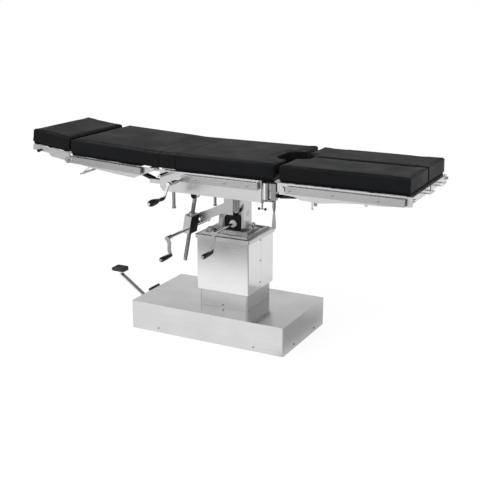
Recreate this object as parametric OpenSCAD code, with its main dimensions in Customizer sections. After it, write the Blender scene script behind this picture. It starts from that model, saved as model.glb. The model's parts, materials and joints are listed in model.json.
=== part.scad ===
// Hydraulic operating table: sectioned pads on steel side plates, a telescoping column on a long low base.
// Millimetres, +Z up, +X toward the foot end, -Y is the side with the cranks.
// Origin: on the floor, under the axis of the lifting ram.

/* [Base] */
// Length of the base cover
base_l = 840; // [780:5:900]
// Width of the base cover
base_w = 485; // [440:5:560]
// Height of the base cover's top
base_h = 144; // [130:2:160]
// Centre of the base cover ahead of the ram axis
base_mid_x = -42; // [-60:2:-30]
// Thickness of the base plate
base_plate_t = 12; // [8:1:16]
// Sheet thickness of the base cover
base_cover_t = 3; // [2:0.5:5]

/* [Pedals] */
// Height of the pump pedal's hinge
pump_hinge_z = 67; // [60:1:72]
// Distance of the pump pedal's hinge inside the head face
pump_hinge_in = 42; // [36:1:60]
// Side position of the pump pedal
pump_y = -85; // [-110:5:-70]
// Angle of the pump lever above level
pump_lean = 35; // [30:1:38]
// Length of the pump lever from hinge to pad
pump_lever_l = 268; // [220:5:300]
// Travel of the pump pedal in degrees
pump_travel = 22; // [10:1:22]
// Side position of the release pedal
release_y = 22; // [10:2:40]
// Travel of the release pedal in degrees
release_travel = 12; // [6:1:12]

/* [Column] */
// Length of the fixed sleeve
sleeve_l = 262; // [250:1:266]
// Width of the fixed sleeve
sleeve_w = 248; // [236:1:256]
// Height of the fixed sleeve's top edge
sleeve_top = 408; // [395:1:414]
// Wall of the fixed sleeve
sleeve_t = 4; // [3:0.5:6]
// Length of the moving housing
housing_l = 282; // [276:1:300]
// Width of the moving housing
housing_w = 274; // [268:1:290]
// Sheet thickness of the moving housing
housing_t = 2.5; // [1.5:0.5:4]
// Height of the moving housing's bottom edge
housing_bottom = 230; // [226:1:236]
// Height of the lid's underside
lid_z = 503; // [501:1:508]
// Diameter of the lifting ram
ram_d = 60; // [50:1:70]
// Outer diameter of the hydraulic cylinder
cylinder_d = 92; // [84:1:110]

/* [Tilt head] */
// Height of the sideways tilt shaft
roll_z = 602; // [600:1:604]
// Diameter of the sideways tilt shaft
roll_d = 30; // [26:1:34]
// Height of the lateral crank's worm shaft
worm_z = 557; // [556:1:558]
// Place of the lateral crank's worm shaft along the table
worm_x = 15; // [13:1:17]
// Teeth on the tilt worm wheel
wheel_teeth = 42; // [36:1:48]
// Trend pivot along the table
trend_x = 20; // [18:1:22]
// Height of the trend pivot
trend_z = 700; // [698:1:702]
// Diameter of the trend pivot
trend_d = 24; // [20:1:28]
// Distance from the middle to each cheek of the yoke
cheek_y = 54; // [53:0.5:55]
// Thickness of the yoke's cheeks and arm
cheek_t = 10; // [8:1:10]

/* [Tilt screw] */
// Head-ward place of the screw's top pin
screw_x = -165; // [-167:1:-163]
// Height of the screw's top pin
screw_z = 690; // [689:1:691]
// Side position of the screw
screw_y = -103; // [-105:1:-101]
// Lean of the screw from upright
screw_lean = 10.7; // [10:0.1:11]
// Length of the screw below its pin
screw_l = 340; // [310:5:350]
// Diameter of the screw
screw_d = 20; // [16:1:22]
// Distance along the screw from its pin to the gearbox pin
box_s = 132; // [131:1:133]
// Height of the gearbox along the screw
box_h = 92; // [86:1:94]
// Width of the gearbox along the table
box_l = 40; // [38:1:46]
// Depth of the gearbox across the table
box_w = 74; // [66:1:76]

/* [Tabletop] */
// Half width of the tabletop over its side plates
top_half = 260; // [250:1:270]
// Thickness of the side plates
plate_t = 6; // [5:0.5:8]
// Height of the side plates' top edge
plate_top = 834; // [832:1:838]
// Height of the seat side plates' bottom edge
seat_plate_bottom = 734; // [730:1:738]
// Head end of the seat side plates
seat_x0 = -266; // [-268:1:-262]
// Foot end of the seat side plates
seat_x1 = 268; // [264:1:270]
// Height of the side rails
rail_h = 32; // [28:1:36]
// Thickness of the side rails
rail_t = 10; // [8:1:12]
// Gap between side rail and plate
rail_gap = 9; // [7:1:12]
// Thickness of the pads' backing boards
board_t = 12; // [10:1:15]
// Inset of the backing boards from the pads' edges
board_in = 7; // [5:1:12]
// Thickness of the seat foam
seat_foam = 68; // [60:1:72]
// Corner radius of the pads
pad_r = 9; // [6:1:14]
// Crown of the pads
pad_crown = 3; // [2:0.5:5]

/* [Back section] */
// Hinge of the back section along the table
back_x = -283; // [-284:1:-282]
// Height of the back section's hinge
back_z = 832; // [831:1:833]
// Upward slope of the back section in degrees
back_slope = 2.72; // [2.5:0.01:3]
// Length of the back section's plates from its hinge
back_l = 498; // [490:1:500]
// Place of the gas strut's foot pin along the table
back_strut_x = -301; // [-302:1:-300]
// Height of the gas strut's foot pin
back_strut_z = 768; // [767:1:769]

/* [Head section] */
// Head hinge past the end of the back plates
head_past = 23.41; // [22:0.01:26]
// Head hinge below the line of the back section's hinge
head_below = 24.77; // [24:0.01:25.5]
// Upward slope of the head section in degrees
head_slope = 6.5; // [6:0.1:7]
// Inset of the head section's plates from the table's sides
head_inset = 22; // [22:1:24]
// Length of the head pad
head_pad_l = 232; // [220:1:240]

/* [Leg sections] */
// Leg fold hinge along the table
leg_x = 371; // [370:1:372]
// Height of the leg fold hinge
leg_z = 807; // [806:1:808]
// Foot end of the leg side plates
leg_x1 = 962; // [940:1:980]
// Splay pivot along the table
splay_x = 286; // [285:1:287]
// Inset of each splay pivot from the table's side
splay_in = 10; // [9:1:11]
// Head end of the leg pads
leg_pad_x0 = 350; // [348:1:352]
// Foot end of the leg pads
leg_pad_x1 = 952; // [930:1:956]
// Gap between the two leg pads
leg_pad_gap = 4; // [3:1:8]

/* [Cranks] */
// Length of the sideways tilt crank's arm
crank_arm = 93; // [85:1:97]
// Length of the head-foot tilt crank's arm
trend_arm = 82; // [76:1:86]
// Lean of the sideways tilt crank in degrees
lateral_lean = 4; // [0:1:12]
// Lean of the head-foot tilt crank in degrees
trend_lean = -12.6; // [-20:0.1:-6]
// Length of the crank grips
crank_grip = 88; // [80:1:95]
// Diameter of the crank shafts
shaft_d = 14; // [12:1:16]
// Length of the seat crank's arm
bridge_arm = 73; // [66:1:76]

/* [Clearances] */
// Radial clearance of turning shafts
run = 0.05; // [0.03:0.01:0.08]
// Gap between sheets that slide past each other
slip = 0.5; // [0.4:0.1:0.8]

/* [Hidden] */
$fn = 48;
base_x0 = base_mid_x - base_l / 2;
base_x1 = base_mid_x + base_l / 2;
pump_hinge_x = base_x0 + pump_hinge_in;
release_x = base_x0 + 36;
release_z = 102;
release_lean = 20;
sleeve_gap = 0.4;
head_base_z = lid_z + 4;
barrel_d = 34;
worm_r = shaft_d / 2 + 1.8;
wheel_tip = roll_z - worm_z - worm_r - 0.4;
wheel_w = 14;
cheek_out = cheek_y + cheek_t;
box_x = screw_x - box_s * sin(screw_lean);
box_z = screw_z - box_s * cos(screw_lean);
slot_l = 19;
trunnion_d = 14;
plate_in = top_half - plate_t;
rail_y = top_half + rail_gap;
foam_z = plate_top + board_t;
pad_top = foam_z + seat_foam;
bridge_x = -226;
bridge_y = top_half - 56.5;
bridge_shaft_x = -152;
bridge_shaft_z = 797;
bridge_x0 = -270;
bridge_x1 = -180;
strut_y = top_half - 44;
splay_y = top_half - splay_in;
handle_y = top_half - 22;
spoon_y = top_half - 20;
lift_hub_y = -top_half - 108;
head_half = top_half - head_inset;
head_x = back_x - (back_l + head_past) * cos(back_slope) - head_below * sin(back_slope);
head_z = back_z + (back_l + head_past) * sin(back_slope) - head_below * cos(back_slope);
lever_x = -(back_l - 168);
back_bar_x = lever_x - 20;
leg_strut_x = 326;
leg_strut_z = 760;
leg_eye_x = 560;
leg_eye_z = 782;
back_eye_x = -450;
back_eye_z = 818;
notch_y = -12;
notch_r = 62;
notch_x = 318;
steel = [0.82, 0.83, 0.84];
brushed = [0.66, 0.67, 0.69];
chrome = [0.88, 0.89, 0.9];
black = [0.07, 0.07, 0.08];
leather = [0.16, 0.16, 0.17];

// Rounded rectangle about its middle, of true arcs
module round_rect(l, w, r) {
  square([l - 2 * r, w], center = true);
  square([l, w - 2 * r], center = true);
  for (x = [-1, 1], y = [-1, 1]) translate([x * (l / 2 - r), y * (w / 2 - r)]) circle(r);
}

// Rounded slab standing on z0
module slab(l, w, h, r) {
  linear_extrude(h) round_rect(l, w, r);
}

// Round bar along Y from y0 to y1
module bar_y(d, y0, y1, x = 0, z = 0) {
  translate([x, y0, z]) rotate([-90, 0, 0]) cylinder(d = d, h = y1 - y0);
}

// Round bar along X from x0 to x1
module bar_x(d, x0, x1, y = 0, z = 0) {
  translate([x0, y, z]) rotate([0, 90, 0]) cylinder(d = d, h = x1 - x0);
}

// Flat plate in the X-Z plane, drawn in x and z, from y0 to y1
module plate_xz(y0, y1) {
  translate([0, y1, 0]) rotate([90, 0, 0]) linear_extrude(y1 - y0) children();
}

// Flat plate in the Y-Z plane, drawn in y and z, from x0 to x1
module plate_yz(x0, x1) {
  translate([x0, 0, 0]) rotate([90, 0, 90]) linear_extrude(x1 - x0) children();
}

// Flat bar between two points in 2D, with round ends that swell a little past its edges
module link2d(a, b, w, swell = 0.4) {
  d = b - a;
  translate(a) rotate(atan2(d[1], d[0])) translate([0, -w / 2]) square([norm(d), w]);
  translate(a) circle(w / 2 + swell);
  translate(b) circle(w / 2 + swell);
}

// Button-head screw whose head stands out along +Z from z = 0 and sits half a millimetre in its plate
module screw_head(d = 9, h = 3) {
  difference() {
    rotate_extrude() {
      polygon([[0, -0.5], [d / 2, -0.5], [d / 2, h * 0.4], [d * 0.36, h * 0.85], [d * 0.2, h], [0, h]]);
    }
    translate([0, 0, h * 0.45]) cylinder(d = d * 0.42, h = h, $fn = 6);
  }
}

// One slice of a cushion: its corners drawn in by an inset
module pad_slice(corners, mid, half, inset, z, t) {
  for (p = corners) {
    sx = 1 - (inset + pad_r) / half[0];
    sy = 1 - (inset + pad_r) / half[1];
    q = [mid[0] + (p[0] - mid[0]) * sx, mid[1] + (p[1] - mid[1]) * sy];
    translate([q[0], q[1], z]) cylinder(r = pad_r, h = t, $fn = 24);
  }
}

// Upholstered pad: backing board, drawn-in sides, bulged middle and crown
module cushion(corners, z0, foam) {
  xs = [for (p = corners) p[0]];
  ys = [for (p = corners) p[1]];
  mid = [(min(xs) + max(xs)) / 2, (min(ys) + max(ys)) / 2];
  half = [(max(xs) - min(xs)) / 2, (max(ys) - min(ys)) / 2];
  z1 = z0 + board_t + foam;
  hull() pad_slice(corners, mid, half, board_in, z0, board_t + 2);
  hull() {
    pad_slice(corners, mid, half, 3, z0 + board_t, 1);
    pad_slice(corners, mid, half, 0, z0 + board_t + foam * 0.3, 1);
    pad_slice(corners, mid, half, 0, z1 - pad_crown - 8, 1);
    pad_slice(corners, mid, half, 4, z1 - pad_crown - 1, 1);
    pad_slice(corners, mid, half, min(half) * 0.45, z1 - 0.5, 0.5);
  }
}

// Corners of a straight pad
function pad_box(x0, x1, y0, y1) = [[x0, y0], [x1, y0], [x1, y1], [x0, y1]];

// Crank of a shaft, flat arm and grip spindle; local origin on the shaft axis, arm toward -Z, grip toward -Y
module crank_arm_part(arm, y, lean) {
  translate([0, y, 0]) rotate([0, lean, 0]) {
    bar_y(shaft_d + 8, -6, 10);
    plate_xz(-4, 2) {
      polygon([[-9, 0], [9, 0], [15, -arm * 0.29], [5.5, -arm * 0.7], [7.5, -arm], [-7.5, -arm],
        [-12.5, -arm * 0.71], [-3.5, -arm * 0.31]]);
      translate([0, -arm]) circle(9);
    }
    bar_y(7, -crank_grip - 3, 0, 0, -arm);
    translate([0, -crank_grip - 3, -arm]) rotate([90, 0, 0]) cylinder(d = 13, h = 3);
  }
}

// Turned grip on a crank's spindle
module crank_grip_part(arm, y, lean, len, d) {
  translate([0, y, 0]) rotate([0, lean, 0]) translate([0, -5, -arm]) rotate([90, 0, 0])
    rotate_extrude() polygon([[3.5 + run, 0], [d * 0.36, 0], [d * 0.42, len * 0.1], [d * 0.5, len * 0.5],
      [d * 0.46, len * 0.75], [d * 0.34, len - 4], [d * 0.28, len - 3], [3.5 + run, len - 3]]);
}

// The base

module base_plate() {
  color(brushed) translate([base_mid_x, 0, 0])
    slab(base_l - 2 * base_cover_t, base_w - 2 * base_cover_t, base_plate_t, 6);
}

module base_cover() {
  color(steel) difference() {
    translate([base_mid_x, 0, 2]) slab(base_l, base_w, base_h - 2, 7);
    translate([base_mid_x, 0, 1])
      slab(base_l - 2 * base_cover_t, base_w - 2 * base_cover_t, base_h - base_cover_t - 1, 6);
    slab(sleeve_l + 2 * slip, sleeve_w + 2 * slip, base_h + 1, 8 + slip);
    translate([base_x0 - 1, pump_y - 17, pump_hinge_z - 8])
      cube([base_cover_t + 8, 34, 56]);
    translate([base_x0 - 1, release_y - 12, release_z - 4])
      cube([base_cover_t + 8, 24, 30]);
  }
  color(chrome) {
    for (x = [-307, 221], s = [-1, 1])
      translate([x, s * base_w / 2, 22]) rotate([-s * 90, 0, 0]) screw_head(9, 3);
    for (y = [-120, 120]) translate([base_x1, y, 22]) rotate([0, 90, 0]) screw_head(9, 3);
  }
}

module lower_sleeve() {
  color(brushed) translate([0, 0, base_plate_t]) difference() {
    slab(sleeve_l, sleeve_w, sleeve_top - base_plate_t, 8);
    translate([0, 0, -1]) slab(sleeve_l - 2 * sleeve_t, sleeve_w - 2 * sleeve_t, sleeve_top, 5);
  }
  color(chrome) for (s = [-1, 1])
    translate([-4, s * sleeve_w / 2, base_h + 14]) rotate([-s * 90, 0, 0]) screw_head(8, 2.5);
}

module hydraulic_cylinder() {
  color(brushed) translate([0, 0, base_plate_t]) difference() {
    rotate_extrude() polygon([[0, 0], [cylinder_d * 0.82, 0], [cylinder_d * 0.82, 12], [cylinder_d / 2, 20],
      [cylinder_d / 2, 348], [cylinder_d / 2 + 6, 350], [cylinder_d / 2 + 6, 366], [0, 366]]);
    translate([0, 0, 18]) cylinder(r = ram_d / 2 + run, h = 360);
  }
}

// Pump block with its oil tank, the lugs of both pedals and the plunger housing
module pump_unit() {
  color(brushed) translate([0, 0, base_plate_t]) {
    translate([base_x0 + 132, -60, 0]) linear_extrude(70) round_rect(100, 150, 8);
    translate([base_x0 + 132, -60, 70]) cylinder(d = 40, h = 18);
    for (s = [-1, 1]) translate([0, pump_y, -base_plate_t])
      plate_xz(s * 22 - 4, s * 22 + 4) difference() {
        polygon([[pump_hinge_x - 16, base_plate_t], [pump_hinge_x + 45, base_plate_t],
          [pump_hinge_x + 45, base_plate_t + 20], [pump_hinge_x + 13, pump_hinge_z + 12],
          [pump_hinge_x - 13, pump_hinge_z + 12]]);
        translate([pump_hinge_x, pump_hinge_z]) circle(6 + run);
      }
    for (s = [-1, 1]) translate([0, release_y, -base_plate_t])
      plate_xz(s * 13 - 3, s * 13 + 3) difference() {
        polygon([[release_x - 12, base_plate_t], [release_x + 30, base_plate_t],
          [release_x + 11, release_z + 11], [release_x - 11, release_z + 11]]);
        translate([release_x, release_z]) circle(5 + run);
      }
    bar_x(12, base_x0 + 181, -sleeve_l / 2 - 0.5, -60, 30);
  }
}

// The pedals

module pump_lever() {
  color(chrome) translate([pump_hinge_x, pump_y, pump_hinge_z]) {
    bar_y(12, -27, 27);
    rotate([0, pump_lean, 0]) {
      bar_y(26, -16, 16);
      translate([-pump_lever_l + 16, -13, -5]) cube([pump_lever_l - 16, 26, 10]);
      bar_y(14, -13, 13, -pump_lever_l + 16, -1);
    }
    rotate([0, pump_lean, 0]) translate([-pump_lever_l + 16, 0, 0]) rotate([0, -pump_lean, 0])
      translate([-6, 0, 0]) cylinder(d = 14, h = 22);
  }
}

module pump_pad() {
  px = pump_hinge_x - (pump_lever_l - 16) * cos(pump_lean) - 10;
  pz = pump_hinge_z + (pump_lever_l - 16) * sin(pump_lean) + 22;
  color(black) translate([px, pump_y, pz]) difference() {
    intersection() {
      translate([0, 0, 0]) slab(78, 58, 20, 14);
      plate_xz(-40, 40) polygon([[-39, 0], [39, 0], [39, 11], [30, 18], [-30, 18], [-39, 11]]);
    }
    for (x = [-24:12:24]) translate([x - 1.5, -22, 16.5]) cube([3, 44, 4]);
  }
}

module release_pedal() {
  color(black) translate([release_x, release_y, release_z]) {
    bar_y(10, -17, 17);
    rotate([0, release_lean, 0]) {
      bar_y(18, -9.5, 9.5);
      translate([-72, -8, -4]) cube([72, 16, 8]);
      bar_y(15, -44, 44, -76, 0);
    }
  }
}

// The lifting column

module lift_ram() {
  color(chrome) {
    translate([0, 0, 122]) cylinder(d = ram_d, h = head_base_z - 122);
  }
}

module housing_half(s) {
  difference() {
    translate([0, 0, housing_bottom]) slab(housing_l, housing_w, lid_z - housing_bottom, 5);
    translate([0, 0, housing_bottom - 1])
      slab(housing_l - 2 * housing_t, housing_w - 2 * housing_t, lid_z, 2.5);
    translate([-housing_l, s > 0 ? -housing_w : -0.3, 0]) cube([2 * housing_l, housing_w + 0.3, 1000]);
  }
  for (x = [-1, 1]) translate([x * (housing_l / 2 - housing_t - 3), 0, 0])
    translate([-3, s > 0 ? 0.3 : -24, housing_bottom + 4]) cube([6, 23.7, lid_z - housing_bottom - 4]);
}

module housing_front() {
  color(steel) housing_half(-1);
  color(chrome) for (x = [-1, 1], z = [264, 376, 479])
    translate([x * housing_l / 2, -8, z]) rotate([0, x * 90, 0]) screw_head(7, 2);
}

module housing_rear() {
  color(steel) housing_half(1);
}

// Lid with a flange turned down round the housing and a raised bevelled frame round the column head
module column_lid() {
  color(steel) difference() {
    union() {
      translate([0, 0, lid_z]) slab(housing_l + 14, housing_w + 14, 4, 6);
      difference() {
        translate([0, 0, lid_z - 15]) slab(housing_l + 13, housing_w + 13, 16, 5.5);
        translate([0, 0, lid_z - 20]) slab(housing_l + 2 * slip, housing_w + 2 * slip, 20, 5 + slip);
      }
      intersection() {
        plate_xz(-housing_w, housing_w) polygon([[-130, lid_z + 3], [130, lid_z + 3], [122, lid_z + 14],
          [-122, lid_z + 14]]);
        plate_yz(-housing_l, housing_l) polygon([[-126, lid_z + 3], [126, lid_z + 3], [118, lid_z + 14],
          [-118, lid_z + 14]]);
      }
    }
    translate([0, 0, lid_z + 7]) slab(224, 214, 20, 4);
    translate([0, 0, lid_z - 1]) slab(200 + 2 * slip, 120 + 2 * slip, 20, 6 + slip);
  }
  color(brushed) translate([-92, -87, lid_z + 4]) rotate_extrude()
    polygon([[0, 0], [19, 0], [19, 5], [16, 7], [16, 25], [12, 30], [0, 31]]);
}

// Casting on the ram: a foot plate with a lifting eye, and two bearing posts for the sideways tilt shaft
module column_head() {
  color(brushed) difference() {
    union() {
      translate([0, 0, head_base_z]) slab(200, 120, 16, 6);
      for (x = [-75, 30]) plate_yz(x, x + 22) {
        polygon([[-42, head_base_z + 10], [42, head_base_z + 10], [26, roll_z], [-26, roll_z]]);
        translate([0, roll_z]) circle(26);
      }
      plate_xz(-5, 5) polygon([[-94, head_base_z + 10], [-74, head_base_z + 10], [-74, 580], [-80, 580]]);
      plate_xz(-30, 30) polygon([[-8, head_base_z + 10], [30, head_base_z + 10], [30, worm_z], [-8, worm_z]]);
    }
    bar_x(roll_d + 2 * run, -80, 60, 0, roll_z);
    bar_y(barrel_d, -70, 70, worm_x, worm_z);
    bar_x(2 * wheel_tip + 6, worm_x - 9, worm_x + 9, 0, roll_z);
  }
  color(chrome) translate([86, 30, head_base_z + 33]) difference() {
    union() {
      bar_x(28, -4, 4);
      translate([0, 0, -18]) cylinder(d = 9, h = 8);
    }
    bar_x(16, -5, 5);
  }
}

// Black bearing casting of the lateral worm, with a light cap round the crank's shaft
module worm_casting() {
  color(black) difference() {
    union() {
      plate_xz(-48, -42) polygon([[-36, head_base_z + 16], [53, head_base_z + 16], [53, 592], [44, 600],
        [-22, 600], [-36, 584]]);
      bar_y(barrel_d, -48, 34, worm_x, worm_z);
    }
    bar_y(shaft_d + 2 * run, -70, 40, worm_x, worm_z);
    bar_y(22, -24, 24, worm_x, worm_z);
    bar_x(2 * wheel_tip + 2, worm_x - 9, worm_x + 9, 0, roll_z);
  }
}

// Crank that tilts the table sideways: worm, long shaft and arm
module lateral_crank() {
  color(chrome) translate([worm_x, 0, worm_z]) {
    bar_y(shaft_d, -250, 38);
    bar_y(2 * worm_r - 3.6, -20, 20);
    for (y = [-18:4.5:18]) translate([0, y, 0]) rotate([90, 0, 0]) rotate_extrude()
      polygon([[0, -1.9], [worm_r - 1.8, -1.9], [worm_r, -0.7], [worm_r, 0.7], [worm_r - 1.8, 1.9], [0, 1.9]]);
    translate([0, -50, 0]) rotate([90, 0, 0]) cylinder(d1 = 38, d2 = 34, h = 10);
    crank_arm_part(crank_arm, -250, lateral_lean);
  }
}

module lateral_grip() {
  color(black) translate([worm_x, 0, worm_z]) crank_grip_part(crank_arm, -250, lateral_lean, crank_grip, 24);
}

// The tilt head

// Tilt shaft with its worm wheel
module roll_shaft() {
  color(brushed) translate([0, 0, roll_z]) {
    bar_x(roll_d, -84, 67);
    bar_x(roll_d + 10, -90, -84);
    translate([worm_x - wheel_w / 2, 0, 0]) rotate([0, 90, 0]) linear_extrude(wheel_w) {
      circle(wheel_tip - 3);
      for (i = [0:wheel_teeth - 1]) rotate(i * 360 / wheel_teeth)
        polygon([[wheel_tip - 3.6, -1.9], [wheel_tip, -0.8], [wheel_tip, 0.8], [wheel_tip - 3.6, 1.9]]);
    }
  }
}

// Outline of a yoke cheek, with the pin's bore
module cheek_2d() {
  difference() {
    polygon([[-42, 601], [19, 601], [19, 655], [67, 655], [67, 708], [54, 722], [-14, 722], [-30, 706],
      [-30, 657], [-42, 651]]);
    translate([trend_x, trend_z]) circle(trend_d / 2 + run);
  }
}

// Yoke on the tilt shaft: right upright, left web, two cheeks and the ribbed apron between them
module tilt_yoke() {
  color(steel) {
    difference() {
      plate_yz(55, 67) union() {
        polygon([[-45, 537], [-28, 530], [28, 530], [45, 537], [41, 655], [cheek_y, 665], [cheek_y, 704], [-cheek_y, 704],
          [-cheek_y, 665], [-41, 655]]);
      }
      bar_x(roll_d, 50, 70, 0, roll_z);
    }
    difference() {
      plate_yz(-34, -22) {
        polygon([[-cheek_y, 704], [cheek_y, 704], [cheek_y, 664], [24, roll_z], [-24, roll_z], [-cheek_y, 664]]);
        translate([0, roll_z]) circle(26);
      }
      bar_x(roll_d, -40, 0, 0, roll_z);
      bar_y(trend_d + 8, -90, 90, trend_x, trend_z);
    }
    for (s = [-1, 1]) plate_xz(s * (cheek_y + cheek_t / 2) - cheek_t / 2, s * (cheek_y + cheek_t / 2) + cheek_t / 2)
      cheek_2d();
  }
  color(brushed) {
    plate_xz(-cheek_out - 3, -cheek_out + 0.5)
      polygon([[19.5, 680], [19.5, 632], [24, 622], [31, 616], [37, 614.5], [43, 616], [50, 622], [54.5, 632],
        [54.5, 680]]);
    for (x = [23:8:47]) translate([x, -cheek_out - 6, 624]) cube([3, 3.5, 52]);
  }
}

// Sloping arm that carries the tilt gearbox in its slotted end
module tilt_arm() {
  color(steel) plate_xz(-cheek_out, -cheek_y) difference() {
    union() {
      link2d([box_x, box_z], [box_x + slot_l, box_z], 42);
      polygon([[box_x - 2, box_z + 21], [-165, 594], [-101, 621], [-42, 651], [-42, 601], [-93, 578],
        [box_x + slot_l, box_z - 21]]);
    }
    link2d([box_x, box_z], [box_x + slot_l, box_z], trunnion_d + 1.8);
  }
}

// The table frame

// Two side plates of the seat, with the hinge lugs of the back at their head end
module seat_side_plates() {
  color(steel) for (s = [-1, 1])
    plate_xz(s * (top_half - plate_t / 2) - plate_t / 2, s * (top_half - plate_t / 2) + plate_t / 2) difference() {
      union() {
        polygon([[seat_x0, 752], [seat_x0 + 14, seat_plate_bottom], [seat_x1 - 8, seat_plate_bottom],
          [seat_x1, seat_plate_bottom + 8], [seat_x1, plate_top], [seat_x0, plate_top]]);
        translate([back_x, back_z]) circle(plate_top - back_z);
        translate([back_x, back_z - 7]) square([back_x < seat_x0 ? seat_x0 - back_x : 1, plate_top - back_z + 7]);
      }
      translate([back_x, back_z]) circle(4 + run);
      if (s < 0) translate([bridge_shaft_x, bridge_shaft_z]) circle(shaft_d / 2 + run);
    }
  color(chrome) {
    for (s = [-1, 1]) translate([-252, s * top_half, 757]) rotate([-s * 90, 0, 0]) screw_head(11, 4);
    difference() {
      bar_y(18, -top_half - 80, -top_half + 0.5, -221, plate_top - 12);
      bar_y(9, -top_half - 81, -top_half - 72, -221, plate_top - 12);
    }
  }
}

// Cross beams under the seat pad, the saddle rails with the tilt pin, the screw's clevis and the strut's foot
module seat_beams() {
  color(brushed) {
    for (x = [-106, 68, 224]) translate([x, -plate_in, 770]) cube([24, 2 * plate_in, plate_top - 770]);
    translate([-261, -plate_in, 770]) cube([22, 2 * plate_in, 58]);
    for (s = [-1, 1]) {
      translate([-261, s * 73 - 8, 744]) cube([509, 16, 26]);
      plate_xz(s * 73 - 6, s * 73 + 6) {
        polygon([[trend_x - 34, 746], [trend_x + 34, 746], [trend_x + 18, trend_z], [trend_x - 18, trend_z]]);
        translate([trend_x, trend_z]) circle(18);
      }
    }
    bar_y(trend_d, -82, 82, trend_x, trend_z);
    for (y = [-strut_y - 15, -strut_y + 12]) translate([-343, y, 758]) cube([82, 3, 20]);
    translate([-261, -strut_y - 15, 758]) cube([12, 30, 20]);
    bar_y(8, -strut_y - 17, -strut_y + 17, back_strut_x, back_strut_z);
  }
  color(black) {
    translate([screw_x - 34, screw_y - 24, 744]) cube([68, 24 - screw_y - 81, 6]);
    for (s = [-1, 1]) plate_xz(screw_y + s * 16 - 3, screw_y + s * 16 + 3) {
      polygon([[screw_x - 32, 746], [screw_x + 32, 746], [screw_x + 12, screw_z - 8], [screw_x - 12, screw_z - 8]]);
      translate([screw_x, screw_z]) circle(15);
    }
    bar_y(12, screw_y - 21, screw_y + 21, screw_x, screw_z);
  }
}

// Side rail on its spacers, drawn from x0 to x1 about a middle height, on side s
module side_rail(x0, x1, zmid, posts, s, y = rail_y) {
  translate([(x0 + x1) / 2, s * (y + rail_t / 2), zmid]) rotate([90, 0, 0]) translate([0, 0, -rail_t / 2])
    linear_extrude(rail_t) round_rect(x1 - x0, rail_h, 3);
  for (x = posts) {
    translate([x, s * (y - rail_gap / 2), zmid]) rotate([90, 0, 0]) cylinder(d = 16, h = rail_gap, center = true);
    translate([x, s * (y + rail_t), zmid]) rotate([-s * 90, 0, 0]) screw_head(12, 3.5);
  }
}

module seat_rails() {
  color(brushed) for (s = [-1, 1]) {
    side_rail(-140, 256, 808, [-62, 90, 206], s);
    translate([250, s * (rail_y + rail_t / 2) - 6, 822]) cube([6, 12, 8]);
  }
}

// Two closed gearboxes that lift the bridge's rods, on the inside of the side plates
module bridge_gearboxes() {
  color(brushed) for (s = [-1, 1]) difference() {
    union() {
      translate([-238, s * bridge_y - 13.5, 776]) cube([100, 27, 52]);
      translate([-200, s > 0 ? bridge_y + 13 : -plate_in, 782]) cube([40, plate_in - bridge_y - 13, 38]);
    }
    translate([bridge_x, s * bridge_y, 770]) cylinder(d = 16 + 2 * run, h = 70);
    bar_y(shaft_d + 2 * run, -plate_in - 1, bridge_y + 6, bridge_shaft_x, bridge_shaft_z);
  }
}

// Chrome sockets of the leg sections' splay pins
module leg_sockets() {
  color(chrome) for (s = [-1, 1]) difference() {
    union() {
      translate([splay_x, s * splay_y, 751]) cylinder(d = 36, h = 75);
      translate([251, s > 0 ? top_half - 32 : -plate_in, 756]) cube([34, plate_in - top_half + 32, 64]);
    }
    translate([splay_x, s * splay_y, 740]) cylinder(d = 20 + 2 * run, h = 100);
    translate([262, s * handle_y, 750]) cylinder(d = 8 + 2 * run, h = 24);
  }
}

module seat_pad() {
  color(leather) difference() {
    cushion(pad_box(-178, 327, -top_half, top_half), plate_top, seat_foam);
    translate([notch_x + 20, notch_y, plate_top - 1]) slab(2 * (notch_x + 20 - 255), 210, 100, notch_r);
  }
}

// Flexible part of the mattress over the waist hinge
module waist_fold() {
  color(leather) cushion(pad_box(-360, -272, -top_half, top_half), plate_top + 6, seat_foam - 6);
}

module t_handle(s) {
  color(chrome) translate([262, s * handle_y, 0]) {
    translate([0, 0, 700]) cylinder(d = 8, h = 72);
    translate([0, 0, 728]) cylinder(d = 15, h = 12);
    bar_x(6, -16, 16, 0, 700);
    for (x = [-16, 16]) translate([x, 0, 700]) rotate([0, 90, 0]) rotate_extrude()
      polygon([[0, -6.5], [3, -5.8], [5.6, -3.3], [6.5, 0], [5.6, 3.3], [3, 5.8], [0, 6.5]]);
  }
}

module near_t_handle() { t_handle(-1); }
module far_t_handle() { t_handle(1); }

// The tilt screw, its gearbox and crank

module tilt_screw() {
  color(chrome) translate([screw_x, screw_y, screw_z]) rotate([0, screw_lean, 0]) {
    difference() {
      union() {
        bar_y(28, -12, 12);
        translate([0, 0, -screw_l]) cylinder(d = screw_d, h = screw_l - 8);
        translate([0, 0, -screw_l - 5]) cylinder(d1 = screw_d - 5, d2 = screw_d, h = 5);
      }
      bar_y(12 + 2 * run, -20, 20);
      for (z = [-screw_l + 12:7:-46]) translate([0, 0, z]) rotate_extrude()
        polygon([[screw_d / 2 - 1.2, 0], [screw_d / 2 + 1, -2], [screw_d / 2 + 1, 2]]);
    }
  }
}

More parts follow.
